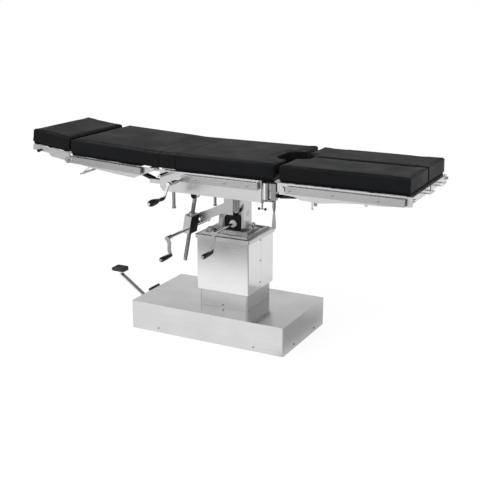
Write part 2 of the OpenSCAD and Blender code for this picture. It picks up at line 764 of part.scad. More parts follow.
// Gearbox that climbs the screw, with the pin that rides in the arm's slot
module tilt_gearbox() {
  translate([screw_x, screw_y, screw_z]) rotate([0, screw_lean, 0]) {
    color(black) difference() {
      union() {
        translate([-box_l / 2, -box_w / 2, -box_s - box_h * 0.65]) cube([box_l, box_w, box_h]);
        translate([0, 0, -box_s + box_h * 0.35]) cylinder(d = 34, h = 8);
        bar_y(trunnion_d, box_w / 2 - 8, 55, 0, -box_s);
      }
      translate([0, 0, -300]) cylinder(d = screw_d + 2 * run, h = 280);
      bar_y(shaft_d + 2 * run, -box_w / 2 - 1, -screw_d / 2 - 3, 10, -box_s - 31);
    }
    color(steel) difference() {
      translate([-box_l / 2 + 1, -box_w / 2 - 3, -box_s - box_h * 0.65 + 1]) cube([box_l - 2, 3, box_h - 2]);
      bar_y(shaft_d + 2 * run, -box_w / 2 - 6, 0, 10, -box_s - 31);
    }
    color(chrome) {
      bar_y(shaft_d, box_w / 2 - 0.5, 158, 10, -box_s - 31);
      translate([10, 168, -box_s - 31]) difference() {
        bar_x(24, -4, 4);
        bar_x(11, -5, 5);
      }
    }
  }
}

// Place of the trend crank's shaft
trend_crank_x = screw_x - (box_s + 31) * sin(screw_lean) + 10 * cos(screw_lean);
trend_crank_z = screw_z - (box_s + 31) * cos(screw_lean) - 10 * sin(screw_lean);

module trend_crank() {
  color(chrome) translate([trend_crank_x, 0, trend_crank_z]) {
    bar_y(shaft_d, -334, screw_y - screw_d / 2 - 4);
    bar_y(shaft_d + 6, -334, -300);
    crank_arm_part(trend_arm, -334, trend_lean);
  }
}

module trend_grip() {
  color(black) translate([trend_crank_x, 0, trend_crank_z])
    crank_grip_part(trend_arm, -334, trend_lean, crank_grip, 24);
}

// The kidney bridge

module bridge_lift() {
  color(chrome) {
    translate([-262, -top_half + 14, plate_top]) cube([74, 2 * top_half - 28, 8]);
    translate([bridge_x, -bridge_y, 643]) cylinder(d = 16, h = plate_top - 642);
    translate([bridge_x, bridge_y, 566]) cylinder(d = 16, h = plate_top - 565);
    translate([bridge_x, -bridge_y, 640]) cylinder(d = 21, h = 7);
    translate([bridge_x, bridge_y, 563]) cylinder(d = 21, h = 7);
  }
}

module bridge_pad() {
  color(leather) cushion(pad_box(bridge_x0, bridge_x1, -top_half, top_half), plate_top + 8, seat_foam - 8);
}

module bridge_crank() {
  color(chrome) translate([bridge_shaft_x, 0, bridge_shaft_z]) {
    bar_y(shaft_d, lift_hub_y, bridge_y + 4);
    bar_y(20, lift_hub_y + 18, lift_hub_y + 76);
    rotate([0, 20, 0]) {
      translate([0, lift_hub_y, 0]) bar_y(20, -6, 6);
      translate([0, lift_hub_y, 0]) plate_xz(-4, 4) link2d([0, 0], [0, -bridge_arm], 11);
      bar_y(8, lift_hub_y - 132, lift_hub_y, 0, -bridge_arm);
      bar_y(12, lift_hub_y - 137, lift_hub_y - 132, 0, -bridge_arm);
    }
  }
}

module bridge_grip() {
  color(black) translate([bridge_shaft_x, 0, bridge_shaft_z]) rotate([0, 20, 0])
    translate([0, lift_hub_y - 8, -bridge_arm]) rotate([90, 0, 0]) rotate_extrude()
      polygon([[4 + run, 0], [8, 0], [9, 12], [8, 30], [12, 70], [13.5, 90], [12, 108], [8, 122], [4 + run, 122]]);
}

// Back section, drawn flat and turned up about its hinge

back_top = plate_top - back_z;
module back_frame_at() {
  translate([back_x, 0, back_z]) rotate([0, back_slope, 0]) children();
}

module back_side_plates() {
  color(steel) back_frame_at() for (s = [-1, 1])
    plate_xz(s * (top_half - plate_t / 2) - plate_t / 2, s * (top_half - plate_t / 2) + plate_t / 2) difference() {
      polygon([[-back_l, back_top], [-14, back_top], [-14, -6], [-22, -11], [-74, -33], [-129, -58],
        [-210, -55], [-370, -45], [-back_l, -32]]);
      if (s < 0) translate([lever_x, -36]) circle(3 + run);
    }
}

// Cross bars, hinge lugs with pins, the strut's slotted lugs and the head section's hinge lugs
module back_beams() {
  color(brushed) back_frame_at() {
    translate([-50, -plate_in, -9]) cube([16, 2 * plate_in, back_top + 9]);
    for (x = [-212, back_bar_x, -back_l + 6]) translate([x, -plate_in, -19]) cube([24, 2 * plate_in, back_top + 19]);
    for (s = [-1, 1]) {
      plate_xz(s * (plate_in - 5) - 4.7, s * (plate_in - 5) + 4.7) link2d([-46, -3], [0, 0], 12);
      translate([0, s * (plate_in - 1.5), 0]) bar_y(8, -9.5, 9.5);
    }
    for (s = [-1, 1]) plate_xz(-strut_y + s * 10 - 2, -strut_y + s * 10 + 2) difference() {
      union() {
        translate([-200, -35]) square([14, back_top + 33]);
        link2d([-190, -17], [back_eye_l, back_eye_h], 34);
      }
      link2d([back_eye_l, back_eye_h - 3], [back_eye_l, back_eye_h + 3], 17);
      translate([-300, back_top]) square([300, 100]);
    }
  }
  color(brushed) for (s = [-1, 1]) {
    plate_xz(s * (plate_in - 7) - 6.7, s * (plate_in - 7) + 6.7) link2d([head_x + 43, head_z + 6], [head_x, head_z], 28);
    translate([head_x, s * (plate_in - 7), head_z]) rotate([90, 0, 0]) cylinder(d = 16, h = 34, center = true);
    translate([head_x, s * (plate_in + 2.5), head_z]) rotate([90, 0, 0]) cylinder(r = 17, h = 5.5, center = true);
  }
}
back_eye_l = (back_eye_x - back_x) * cos(back_slope) - (back_eye_z - back_z) * sin(back_slope);
back_eye_h = (back_eye_x - back_x) * sin(back_slope) + (back_eye_z - back_z) * cos(back_slope);

module back_rails() {
  color(brushed) back_frame_at() for (s = [-1, 1])
    side_rail(-back_l + 5, -79, -16, [-back_l + 16, -316, -130], s);
}

module back_pad() {
  color(leather) back_frame_at()
    cushion(pad_box(-back_l + 6, -84, -top_half, top_half), back_top, seat_foam - 4);
}

module back_release_lever() {
  color(chrome) back_frame_at() translate([lever_x, -plate_in + 7, -36]) {
    bar_y(16, -5, 5);
    rotate([0, -23, 0]) {
      translate([-42, 0, 0]) rotate([0, 90, 0]) cylinder(d = 8, h = 42);
      translate([-118, 0, 0]) rotate([0, 90, 0]) cylinder(d = 11, h = 78);
      translate([-134, 0, 0]) rotate([0, 90, 0]) cylinder(d = 7, h = 17);
    }
    bar_y(6, -13, 0);
  }
}

// Gas strut between two points in the X-Z plane: cylinder or rod
module strut_at(a, b, y) {
  d = b - a;
  translate([a[0], y, a[1]]) rotate([0, -atan2(d[1], d[0]), 0]) children();
}

module strut_cylinder_part(len, d, bore, pin) {
  difference() {
    union() {
      bar_y(18, -6, 6);
      translate([4, 0, 0]) rotate([0, 90, 0]) cylinder(d = 12, h = 14);
      translate([14, 0, 0]) rotate([0, 90, 0]) cylinder(d = d, h = len - 14);
    }
    bar_y(pin + 2 * run, -10, 10);
    translate([19, 0, 0]) rotate([0, 90, 0]) cylinder(d = bore + 2 * run, h = len);
  }
}

module strut_rod_part(s0, s1, d) {
  translate([s0, 0, 0]) rotate([0, 90, 0]) cylinder(d = d, h = s1 - s0 - 4);
  translate([s1, 0, 0]) {
    bar_y(14, -5, 5);
    bar_y(8, -13, 13);
  }
}

module back_strut_cylinder() {
  color(black) strut_at([back_strut_x, back_strut_z], [back_eye_x, back_eye_z], -strut_y)
    strut_cylinder_part(126, 20, 9, 8);
}

module back_strut_rod() {
  d = [back_eye_x - back_strut_x, back_eye_z - back_strut_z];
  color(chrome) strut_at([back_strut_x, back_strut_z], [back_eye_x, back_eye_z], -strut_y)
    strut_rod_part(44, norm(d), 9);
}

// Head section

module head_frame_at() {
  translate([head_x, 0, head_z]) rotate([0, head_slope, 0]) children();
}

module head_frame() {
  color(steel) head_frame_at() for (s = [-1, 1])
    plate_xz(s * (head_half - plate_t / 2) - plate_t / 2, s * (head_half - plate_t / 2) + plate_t / 2) difference() {
      union() {
        polygon([[-234, 33], [-14, 33], [0, 16], [0, -16], [-46, -12], [-120, -9], [-136, 5], [-234, 5]]);
        circle(16);
      }
      circle(8 + run);
    }
  color(brushed) head_frame_at() for (x = [-232, -146, -50])
    translate([x, -head_half + plate_t, 13]) cube([20, 2 * (head_half - plate_t), 20]);
}

module head_pad() {
  color(leather) head_frame_at()
    cushion(pad_box(-236, -5, -head_half + 5, head_half - 5), 33, 60);
}

module head_knob() {
  color(black) head_frame_at() translate([-190, -head_half, 8]) rotate([90, 0, 0]) {
    cylinder(d = 8, h = 6);
    translate([0, 0, 4]) difference() {
      cylinder(d = 16, h = 12);
      for (a = [0:60:300]) rotate(a) translate([10, 0, -1]) cylinder(d = 6, h = 20);
    }
  }
}

// Leg sections, given in near-side numbers; s is -1 on the near side and 1 on the far one

module leg_side(s) {
  if (s < 0) children();
  else mirror([0, 1, 0]) children();
}

module leg_block(s) {
  color(brushed) leg_side(s) {
    difference() {
      union() {
        translate([splay_x, -splay_y, 742]) cylinder(d = 36, h = 8.5);
        translate([splay_x, -splay_y, 826.5]) cylinder(d = 36, h = 7);
        translate([splay_x, -splay_y - 14, 742]) cube([33, 28, 8.5]);
        translate([splay_x, -splay_y - 14, 826.5]) cube([39, 28, 7]);
        translate([313, -top_half - 2, 750]) cube([26, 24, 77]);
        plate_xz(-plate_in + 0.4, -spoon_y) link2d([330, leg_z], [leg_x, leg_z], 32);
        translate([313, -spoon_y, 774]) cube([17, 40, 6]);
        for (y = [-strut_y - 13, -strut_y + 10]) plate_xz(y, y + 3) hull_free_lug();
      }
      translate([322, -spoon_y, 738]) cylinder(d = 8 + 2 * run, h = 24);
    }
    translate([splay_x, -splay_y, 742]) cylinder(d = 20, h = 88);
    bar_y(16, -top_half - 8, -spoon_y + 1, leg_x, leg_z);
    bar_y(26, -top_half - 11, -top_half - 6, leg_x, leg_z);
    bar_y(8, -strut_y - 15, -strut_y + 15, leg_strut_x, leg_strut_z);
  }
}

// Strut foot lug under the leg block's bracket
module hull_free_lug() {
  translate([leg_strut_x - 9, leg_strut_z]) square([13, 774 - leg_strut_z]);
  translate([leg_strut_x, leg_strut_z]) circle(9);
}

module spoon_handle(s) {
  color(chrome) translate([322, s * spoon_y, 0]) {
    translate([0, 0, 730]) cylinder(d = 8, h = 28);
    translate([0, 0, 712]) cylinder(d = 17, h = 29.5);
    translate([0, 0, 690]) cylinder(d1 = 9, d2 = 15, h = 23);
    plate_xz(-2.5, 2.5) {
      polygon([[-3, 694], [3, 694], [6, 676], [9, 640], [9, 622], [-9, 622], [-9, 640], [-6, 676]]);
      translate([0, 622]) circle(9);
    }
  }
}

// Plate and box of one side, given in near-side numbers
module side_plate(s, y0, y1) {
  plate_xz(s < 0 ? y0 : -y1, s < 0 ? y1 : -y0) children();
}

module side_box(s, p, d) {
  translate([p[0], s < 0 ? p[1] : -p[1] - d[1], p[2]]) cube(d);
}

module leg_frame(s) {
  color(steel) {
    difference() {
      side_plate(s, -top_half, -plate_in)
        polygon(concat([[leg_x - 25, plate_top], [leg_x1, plate_top], [leg_x1, 792], [leg_x1 - 52, 787], [823, 781],
          [734, 780], [644, 774], [551, 762], [458, 766], [426, 778.5]],
          [for (a = [275:-12:185]) [leg_x + 25 * cos(a), leg_z + 25 * sin(a)]]));
      bar_y(16 + 2 * run, s < 0 ? -300 : 0, s < 0 ? 0 : 300, leg_x, leg_z);
    }
    side_box(s, [leg_x1 - 6, -plate_in, 806], [6, plate_in - 14, plate_top - 806]);
    side_box(s, [420, -14, 800], [leg_x1 - 420, 6, plate_top - 800]);
    for (x = [428, 600, 770, leg_x1 - 32]) side_box(s, [x, -plate_in, 810], [22, plate_in - 14, plate_top - 810]);
    for (y = [-strut_y - 12, -strut_y + 8]) side_plate(s, y, y + 4) difference() {
      union() {
        link2d([leg_eye_x, leg_eye_z - 6], [leg_eye_x, leg_eye_z + 10], 30);
        translate([leg_eye_x - 12, 790]) square([62, 30]);
      }
      link2d([leg_eye_x, leg_eye_z - 8], [leg_eye_x, leg_eye_z + 8], 16);
    }
    side_box(s, [508, -plate_in, 734], [6, 8, 60]);
    translate([511, s * (plate_in - 4), 732]) sphere(d = 10);
    side_box(s, [752, -plate_in, 770], [12, 8, 26]);
  }
  color(chrome) {
    translate([leg_x1, s * (plate_in - 4), 819]) rotate([0, 90, 0]) cylinder(d = 15, h = 10);
    for (y = [118, 58]) bar_x(6, leg_x1 - 2, leg_x1 + 34, s * y, 824);
    bar_y(7, s < 0 ? -122 : 54, s < 0 ? -54 : 122, leg_x1 + 33.5, 824);
  }
}

module leg_rail(s) {
  color(brushed) side_rail(392, leg_x1 - 27, 808, [414, 612, 820], s);
}

module leg_pad(s) {
  color(leather) cushion([[leg_pad_x0, s * top_half], [leg_pad_x0, s * 80], [420, s * leg_pad_gap / 2],
    [leg_pad_x1, s * leg_pad_gap / 2], [leg_pad_x1, s * top_half]], plate_top, seat_foam - 4);
}

module leg_strut_cylinder(s) {
  color(black) strut_at([leg_strut_x, leg_strut_z], [leg_eye_x, leg_eye_z], s * strut_y)
    strut_cylinder_part(126, 18, 8, 8);
}

module leg_strut_rod(s) {
  d = [leg_eye_x - leg_strut_x, leg_eye_z - leg_strut_z];
  color(chrome) strut_at([leg_strut_x, leg_strut_z], [leg_eye_x, leg_eye_z], s * strut_y)
    strut_rod_part(112, norm(d), 8);
}

module near_leg_block() { leg_block(-1); }
module near_spoon_handle() { spoon_handle(-1); }
module near_leg_frame() { leg_frame(-1); }
module near_leg_rail() { leg_rail(-1); }
module near_leg_pad() { leg_pad(-1); }
module near_strut_cylinder() { leg_strut_cylinder(-1); }
module near_strut_rod() { leg_strut_rod(-1); }
module far_leg_block() { leg_block(1); }
module far_spoon_handle() { spoon_handle(1); }
module far_leg_frame() { leg_frame(1); }
module far_leg_rail() { leg_rail(1); }
module far_leg_pad() { leg_pad(1); }
module far_strut_cylinder() { leg_strut_cylinder(1); }
module far_strut_rod() { leg_strut_rod(1); }

base_plate();
base_cover();
lower_sleeve();
hydraulic_cylinder();
pump_unit();
pump_lever();
pump_pad();
release_pedal();
lift_ram();
housing_front();
housing_rear();
column_lid();
column_head();
worm_casting();
lateral_crank();
lateral_grip();
roll_shaft();
tilt_yoke();
tilt_arm();
seat_side_plates();
seat_beams();
seat_rails();
bridge_gearboxes();
leg_sockets();
seat_pad();
waist_fold();
near_t_handle();
far_t_handle();
tilt_screw();
tilt_gearbox();
trend_crank();
trend_grip();
bridge_lift();
bridge_pad();
bridge_crank();
bridge_grip();
back_side_plates();
back_beams();
back_rails();
back_pad();
back_release_lever();
back_strut_cylinder();
back_strut_rod();
head_frame();
head_pad();
head_knob();
near_leg_block();
near_spoon_handle();
near_leg_frame();
near_leg_rail();
near_leg_pad();
near_strut_cylinder();
near_strut_rod();
far_leg_block();
far_spoon_handle();
far_leg_frame();
far_leg_rail();
far_leg_pad();
far_strut_cylinder();
far_strut_rod();
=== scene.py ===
import bpy
import bmesh
import json
import math
from mathutils import Vector, Matrix
from mathutils.bvhtree import BVHTree

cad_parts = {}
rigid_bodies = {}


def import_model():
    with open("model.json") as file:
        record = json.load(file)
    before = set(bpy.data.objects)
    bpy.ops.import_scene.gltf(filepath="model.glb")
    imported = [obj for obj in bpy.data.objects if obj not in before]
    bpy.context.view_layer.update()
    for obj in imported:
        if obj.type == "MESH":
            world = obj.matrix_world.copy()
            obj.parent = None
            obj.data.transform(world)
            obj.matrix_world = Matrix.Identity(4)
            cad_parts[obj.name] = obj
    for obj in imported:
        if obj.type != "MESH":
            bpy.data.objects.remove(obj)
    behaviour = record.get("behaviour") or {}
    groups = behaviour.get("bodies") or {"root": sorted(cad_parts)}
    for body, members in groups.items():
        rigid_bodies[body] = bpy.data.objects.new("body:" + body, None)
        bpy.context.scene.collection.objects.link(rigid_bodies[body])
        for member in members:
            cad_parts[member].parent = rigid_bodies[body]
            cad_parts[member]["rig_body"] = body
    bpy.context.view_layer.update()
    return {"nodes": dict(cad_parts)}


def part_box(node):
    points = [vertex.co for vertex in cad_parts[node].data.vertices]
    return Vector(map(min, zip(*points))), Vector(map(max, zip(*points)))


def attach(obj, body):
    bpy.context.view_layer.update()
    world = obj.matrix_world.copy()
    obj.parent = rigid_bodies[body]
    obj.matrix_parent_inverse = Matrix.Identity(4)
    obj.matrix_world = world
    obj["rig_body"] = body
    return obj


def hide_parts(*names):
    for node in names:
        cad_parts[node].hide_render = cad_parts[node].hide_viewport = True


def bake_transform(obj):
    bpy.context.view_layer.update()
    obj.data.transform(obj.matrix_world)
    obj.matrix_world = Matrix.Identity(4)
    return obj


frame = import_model()
parts = frame["nodes"]

# The base: a long low cover folded from 3 mm stainless sheet, its ends welded and ground flush, dropped
# over a steel floor plate and held by small screws along its foot. Its faces are ground lengthwise.
COVER_FOLD = 0.0022
COVER_TONE = 0.62
PLATE_TONE = 0.42
ROLL_STEPS, ROLL_FROM, SMOOTH_UNDER = 2, math.radians(35), 28
WELD_GAP = 0.00002


def add_node(tree, kind, values=None, **settings):
    """A new node with its settings, and with values for its inputs by name."""
    node = tree.nodes.new(kind)
    for setting, value in settings.items():
        setattr(node, setting, value)
    for entry, value in (values or {}).items():
        node.inputs[entry].default_value = value
    return node


def wire(tree, *links):
    """Joins nodes: each link is (node, output, node, input)."""
    for source, output, target, entry in links:
        tree.links.new(source.outputs[output], target.inputs[entry])


def start_finish(name, colour, metallic, roughness):
    """A new material with its plain values set; returns it, its tree and its main shader."""
    finish = bpy.data.materials.new(name)
    finish.use_nodes = True
    tree = finish.node_tree
    skin = tree.nodes["Principled BSDF"]
    skin.inputs["Base Color"].default_value = (*colour, 1)
    skin.inputs["Metallic"].default_value = metallic
    skin.inputs["Roughness"].default_value = roughness
    return finish, tree, skin


def speckle(tree, per_metre, detail=3.0):
    """Noise read on Object coordinates, with its own count of grains per metre on each axis."""
    where = add_node(tree, "ShaderNodeTexCoord")
    stretch = add_node(tree, "ShaderNodeMapping", {"Scale": per_metre})
    grains = add_node(tree, "ShaderNodeTexNoise", {"Scale": 1, "Detail": detail})
    wire(tree, (where, "Object", stretch, "Vector"), (stretch, "Vector", grains, "Vector"))
    return grains.outputs["Fac"]


def spread_value(tree, source, low, high, start=0.3, stop=0.7):
    """source, stretched so that start to stop becomes low to high."""
    reach = add_node(tree, "ShaderNodeMapRange",
                     {"From Min": start, "From Max": stop, "To Min": low, "To Max": high})
    tree.links.new(source, reach.inputs["Value"])
    return reach.outputs["Result"]


def combine(tree, how, a, b):
    """One Math node over two sockets."""
    sum_up = add_node(tree, "ShaderNodeMath", operation=how)
    tree.links.new(a, sum_up.inputs[0])
    tree.links.new(b, sum_up.inputs[1])
    return sum_up.outputs[0]


def shade_colour(tree, skin, colour, strength):
    """The base colour, made lighter and darker by a socket round 1."""
    vary = add_node(tree, "ShaderNodeHueSaturation", {"Color": (*colour, 1)})
    tree.links.new(strength, vary.inputs["Value"])
    tree.links.new(vary.outputs["Color"], skin.inputs["Base Color"])


def relief(tree, skin, height, depth, strength=0.4, edge=0.0):
    """Bump from a height socket; edge rounds the shaded edges of the CAD solids by so many metres."""
    bump = add_node(tree, "ShaderNodeBump", {"Strength": strength, "Distance": depth})
    tree.links.new(height, bump.inputs["Height"])
    if edge:
        round_off = add_node(tree, "ShaderNodeBevel", {"Radius": edge}, samples=4)
        wire(tree, (round_off, "Normal", bump, "Normal"))
    wire(tree, (bump, "Normal", skin, "Normal"))


def ground_steel(name, tone, grain, rough=(0.22, 0.36), edge=0.0010, tint=(1.0, 1.0, 1.005), scratch=0.09):
    """Stainless ground along one axis: fine long scratches, faint smudges, uneven polish."""
    colour = [tone * c for c in tint]
    finish, tree, skin = start_finish(name, colour, 1.0, rough[0])
    lines = speckle(tree, [9 if axis == grain else 700 for axis in "xyz"], 4)
    smudge = speckle(tree, (6, 6, 6), 4)
    both = combine(tree, "MULTIPLY", spread_value(tree, lines, 0.93, 1.06), spread_value(tree, smudge, 0.95, 1.03))
    shade_colour(tree, skin, colour, both)
    dull = combine(tree, "ADD", spread_value(tree, lines, rough[0], rough[1]), spread_value(tree, smudge, -0.03, 0.05))
    tree.links.new(dull, skin.inputs["Roughness"])
    relief(tree, skin, lines, 0.0003, scratch, edge)
    return finish


def in_scene(name, data):
    """A new object for a mesh, lamp or camera, at the origin."""
    piece = bpy.data.objects.new(name, data)
    bpy.context.scene.collection.objects.link(piece)
    return piece


def to_mesh(form, name, finish=None):
    """A bmesh made into a mesh, which is in one finish."""
    mesh = bpy.data.meshes.new(name)
    form.to_mesh(mesh)
    form.free()
    if finish:
        mesh.materials.append(finish)
    return mesh


def softened(node, width, finish, patches=()):
    """A copy of a CAD node with its sharp edges rolled over, which stands for the node. patches are
    (finish, test) pairs: a face whose centre passes the test gets that finish instead."""
    form = bmesh.new()
    form.from_mesh(parts[node].data)
    bmesh.ops.remove_doubles(form, verts=form.verts, dist=WELD_GAP)
    bmesh.ops.dissolve_limit(form, angle_limit=math.radians(0.5), verts=form.verts, edges=form.edges)
    piece = in_scene(node + "_fine", to_mesh(form, node + "_fine"))
    roll = piece.modifiers.new("rolled edges", "BEVEL")
    roll.width = width
    roll.segments = ROLL_STEPS
    roll.limit_method = "ANGLE"
    roll.angle_limit = ROLL_FROM
    roll.use_clamp_overlap = True
    settle(piece)
    piece.data.materials.clear()
    piece.data.materials.append(finish)
    for number, (other, test) in enumerate(patches):
        piece.data.materials.append(other)
        for face in piece.data.polygons:
            if test(*face.center):
                face.material_index = number + 1
    sharpen(piece.data, SMOOTH_UNDER)
    level = piece.modifiers.new("even faces", "WEIGHTED_NORMAL")
    level.weight = 100
    level.keep_sharp = True
    settle(piece)
    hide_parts(node)
    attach(piece, parts[node]["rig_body"])


def settle(piece):
    """Turns an object's modifiers into its plain mesh."""
    bpy.context.view_layer.update()
    seen = piece.evaluated_get(bpy.context.evaluated_depsgraph_get())
    baked = bpy.data.meshes.new_from_object(seen)
    piece.modifiers.clear()
    piece.data = baked


def sharpen(mesh, angle):
    """Shades a mesh smooth, but for the edges steeper than an angle."""
    work = bmesh.new()
    work.from_mesh(mesh)
    limit = math.radians(angle)
    for face in work.faces:
        face.smooth = True
    for edge in work.edges:
        edge.smooth = len(edge.link_faces) != 2 or edge.calc_face_angle(0) < limit
    work.to_mesh(mesh)
    work.free()


def dress(finish, *names):
    """Gives CAD nodes a finish by their objects' material slots."""
    for name in names:
        for place in parts[name].material_slots:
            place.material = finish


def close_rings(form, rings):
    """Walls between neighbouring rings of points, and a cap on the first ring and on the last."""
    count = len(rings[0])
    for low, high in zip(rings, rings[1:]):
        for k in range(count):
            on = (k + 1) % count
            form.faces.new((low[k], low[on], high[on], high[k]))
    form.faces.new(list(reversed(rings[0])))
    form.faces.new(rings[-1])


def lathe(profile, sides):
    """A closed form round Z: profile is (height, radius) pairs."""
    form = bmesh.new()
    turns = [k * math.tau / sides for k in range(sides)]
    close_rings(form, [[form.verts.new((radius * math.cos(t), radius * math.sin(t), height)) for t in turns]
                       for height, radius in profile])
    return form


def turned(name, profile, start, end, finish, sides=32):
    """A lathe form from start towards end: profile is (distance along the axis, radius) pairs."""
    start, end = Vector(start), Vector(end)
    turn = (end - start).to_track_quat("Z", "Y").to_matrix().to_4x4()
    form = lathe(profile, sides)
    bmesh.ops.transform(form, matrix=Matrix.Translation(start) @ turn, verts=form.verts)
    bmesh.ops.recalc_face_normals(form, faces=form.faces)
    mesh = to_mesh(form, name, finish)
    sharpen(mesh, 40)
    return in_scene(name, mesh)


def bright_metal(name, tone, rough, edge=0.0006):
    """Plated or polished metal: near even, with faint wipe marks and a soft haze."""
    finish, tree, skin = start_finish(name, [tone] * 3, 1.0, rough)
    haze = speckle(tree, (38, 38, 38), 5)
    grain = speckle(tree, (900, 900, 900), 2)
    shade_colour(tree, skin, [tone, tone, tone * 1.01], spread_value(tree, haze, 0.93, 1.03))
    tree.links.new(spread_value(tree, haze, rough * 0.7, rough * 1.6), skin.inputs["Roughness"])
    relief(tree, skin, grain, 0.0001, 0.08, edge)
    return finish


def start_rows(name, kinds, takes_points=True):
    """A Geometry Nodes tree with a named input for each label: kind of kinds. Returns the tree, its
    ends, and the identifiers of its inputs by label."""
    tree = bpy.data.node_groups.new(name, "GeometryNodeTree")
    face = tree.interface
    if takes_points:
        face.new_socket("Geometry", in_out="INPUT", socket_type="NodeSocketGeometry")
    face.new_socket("Geometry", in_out="OUTPUT", socket_type="NodeSocketGeometry")
    sockets = {label: face.new_socket(label, in_out="INPUT", socket_type="NodeSocket" + kind).identifier
               for label, kind in kinds.items()}
    return tree, add_node(tree, "NodeGroupInput"), add_node(tree, "NodeGroupOutput"), sockets


def run_rows(piece, tree, sockets, values):
    """Puts a tree on an object with values for its inputs, and keeps what it makes as a plain mesh."""
    rows = piece.modifiers.new("rows", "NODES")
    rows.node_group = tree
    for label, value in values.items():
        rows[sockets[label]] = value
    settle(piece)


SCREW_HEAD = ((0.0, 1.0), (0.45, 1.0), (0.8, 0.93), (1.0, 0.78), (1.0, 0.46), (0.35, 0.44))
SCREW_SIDES, TURN_SEED = 24, 4


def screw_rows(name, places, radius, height, finish, slot):
    """Rows of socket screws by Geometry Nodes: one head, of a radius and a height, at each (point,
    direction) of places."""
    head_mesh = to_mesh(lathe(SCREW_HEAD, SCREW_SIDES), name + "_head")
    sharpen(head_mesh, 40)
    pattern = in_scene(name + "_head", head_mesh)
    dots = bpy.data.meshes.new(name)
    dots.from_pydata([tuple(point) for point, _ in places], [], [])
    dots.attributes.new("out", "FLOAT_VECTOR", "POINT").data.foreach_set(
        "vector", [c for _, way in places for c in way])
    piece = in_scene(name, dots)
    tree, given, out, sockets = start_rows(name + "_rows", {
        "Head": "Object", "Head radius": "Float", "Head height": "Float", "Turn seed": "Int",
        "Finish": "Material"})
    shape = add_node(tree, "GeometryNodeObjectInfo")
    way = add_node(tree, "GeometryNodeInputNamedAttribute", {"Name": "out"}, data_type="FLOAT_VECTOR")
    aim = add_node(tree, "FunctionNodeAlignRotationToVector")
    spin = add_node(tree, "FunctionNodeRotateRotation", rotation_space="LOCAL")
    chance = add_node(tree, "FunctionNodeRandomValue", {3: math.tau})
    own_turn = add_node(tree, "FunctionNodeAxisAngleToRotation")
    size = add_node(tree, "ShaderNodeCombineXYZ")
    on = add_node(tree, "GeometryNodeInstanceOnPoints")
    real = add_node(tree, "GeometryNodeRealizeInstances")
    paint = add_node(tree, "GeometryNodeSetMaterial")
    wire(tree, (given, "Geometry", on, "Points"), (given, "Head", shape, "Object"),
         (shape, "Geometry", on, "Instance"), (way, "Attribute", aim, "Vector"),
         (given, "Turn seed", chance, "Seed"), (chance, 1, own_turn, "Angle"),
         (aim, "Rotation", spin, "Rotation"), (own_turn, "Rotation", spin, "Rotate By"),
         (spin, "Rotation", on, "Rotation"), (given, "Head radius", size, "X"),
         (given, "Head radius", size, "Y"), (given, "Head height", size, "Z"),
         (size, "Vector", on, "Scale"), (on, "Instances", real, "Geometry"),
         (real, "Geometry", paint, "Geometry"), (given, "Finish", paint, "Material"),
         (paint, "Geometry", out, "Geometry"))
    run_rows(piece, tree, sockets, {"Head": pattern, "Head radius": radius, "Head height": height,
                                    "Turn seed": TURN_SEED, "Finish": finish})
    bpy.data.objects.remove(pattern)
    return piece


cover_steel = ground_steel("base_cover_steel", COVER_TONE, "x", (0.13, 0.22), scratch=0.05)
floor_steel = ground_steel("floor_plate_steel", PLATE_TONE, "x", (0.35, 0.5))
screw_metal = bright_metal("screw_head_metal", 0.34, 0.22)
softened("base_cover", COVER_FOLD, cover_steel)
dress(floor_steel, "base_plate", "pump_unit")
COVER_X1, COVER_Y, FOOT_Z = 0.378, 0.2425, 0.022
FOOT_SCREW = 0.0047, 0.0032
foot_screws = [((x, y, FOOT_Z), (0, math.copysign(1, y), 0)) for x in (-0.307, 0.221) for y in (-COVER_Y, COVER_Y)]
foot_screws += [((COVER_X1, y, FOOT_Z), (1, 0, 0)) for y in (-0.12, 0.12)]
foot_screws += [((-0.004, y, 0.158), (0, math.copysign(1, y), 0)) for y in (-0.124, 0.124)]
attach(screw_rows("base_screw_rows", foot_screws, *FOOT_SCREW, screw_metal, "chrome"), "base")

# The pedals: a chromed flat lever with a ribbed rubber pad pumps the oil, and a short bar with a cross
# pin in a black sleeve lets it out. Both come out of slots in the head end of the cover.
RUBBER = (0.018, 0.018, 0.019)
PEDAL_ROLL, THICK_ROLL = 0.0016, 0.0012


def dark_stuff(name, colour, rough, grain_size, depth, gloss=0.5, edge=0.0008):
    """Moulded or painted black: fine even grain, slightly uneven sheen."""
    finish, tree, skin = start_finish(name, colour, 0.0, rough)
    grains = speckle(tree, (1 / grain_size,) * 3, 3)
    clouds = speckle(tree, (25, 25, 25), 3)
    skin.inputs["Specular IOR Level"].default_value = gloss
    shade_colour(tree, skin, colour, spread_value(tree, clouds, 0.8, 1.25))
    dull = combine(tree, "ADD", spread_value(tree, clouds, rough - 0.05, rough + 0.06),
                   spread_value(tree, grains, -0.03, 0.03))
    tree.links.new(dull, skin.inputs["Roughness"])
    relief(tree, skin, grains, depth, 0.35, edge)
    return finish


chrome = bright_metal("chrome_plate", 0.74, 0.09)
rod_steel = bright_metal("turned_rod_steel", 0.40, 0.2)
rubber = dark_stuff("pedal_rubber", RUBBER, 0.55, 0.0012, 0.0002)
softened("pump_lever", PEDAL_ROLL, chrome)
softened("pump_pad", PEDAL_ROLL, rubber)
softened("release_pedal", THICK_ROLL, rubber)

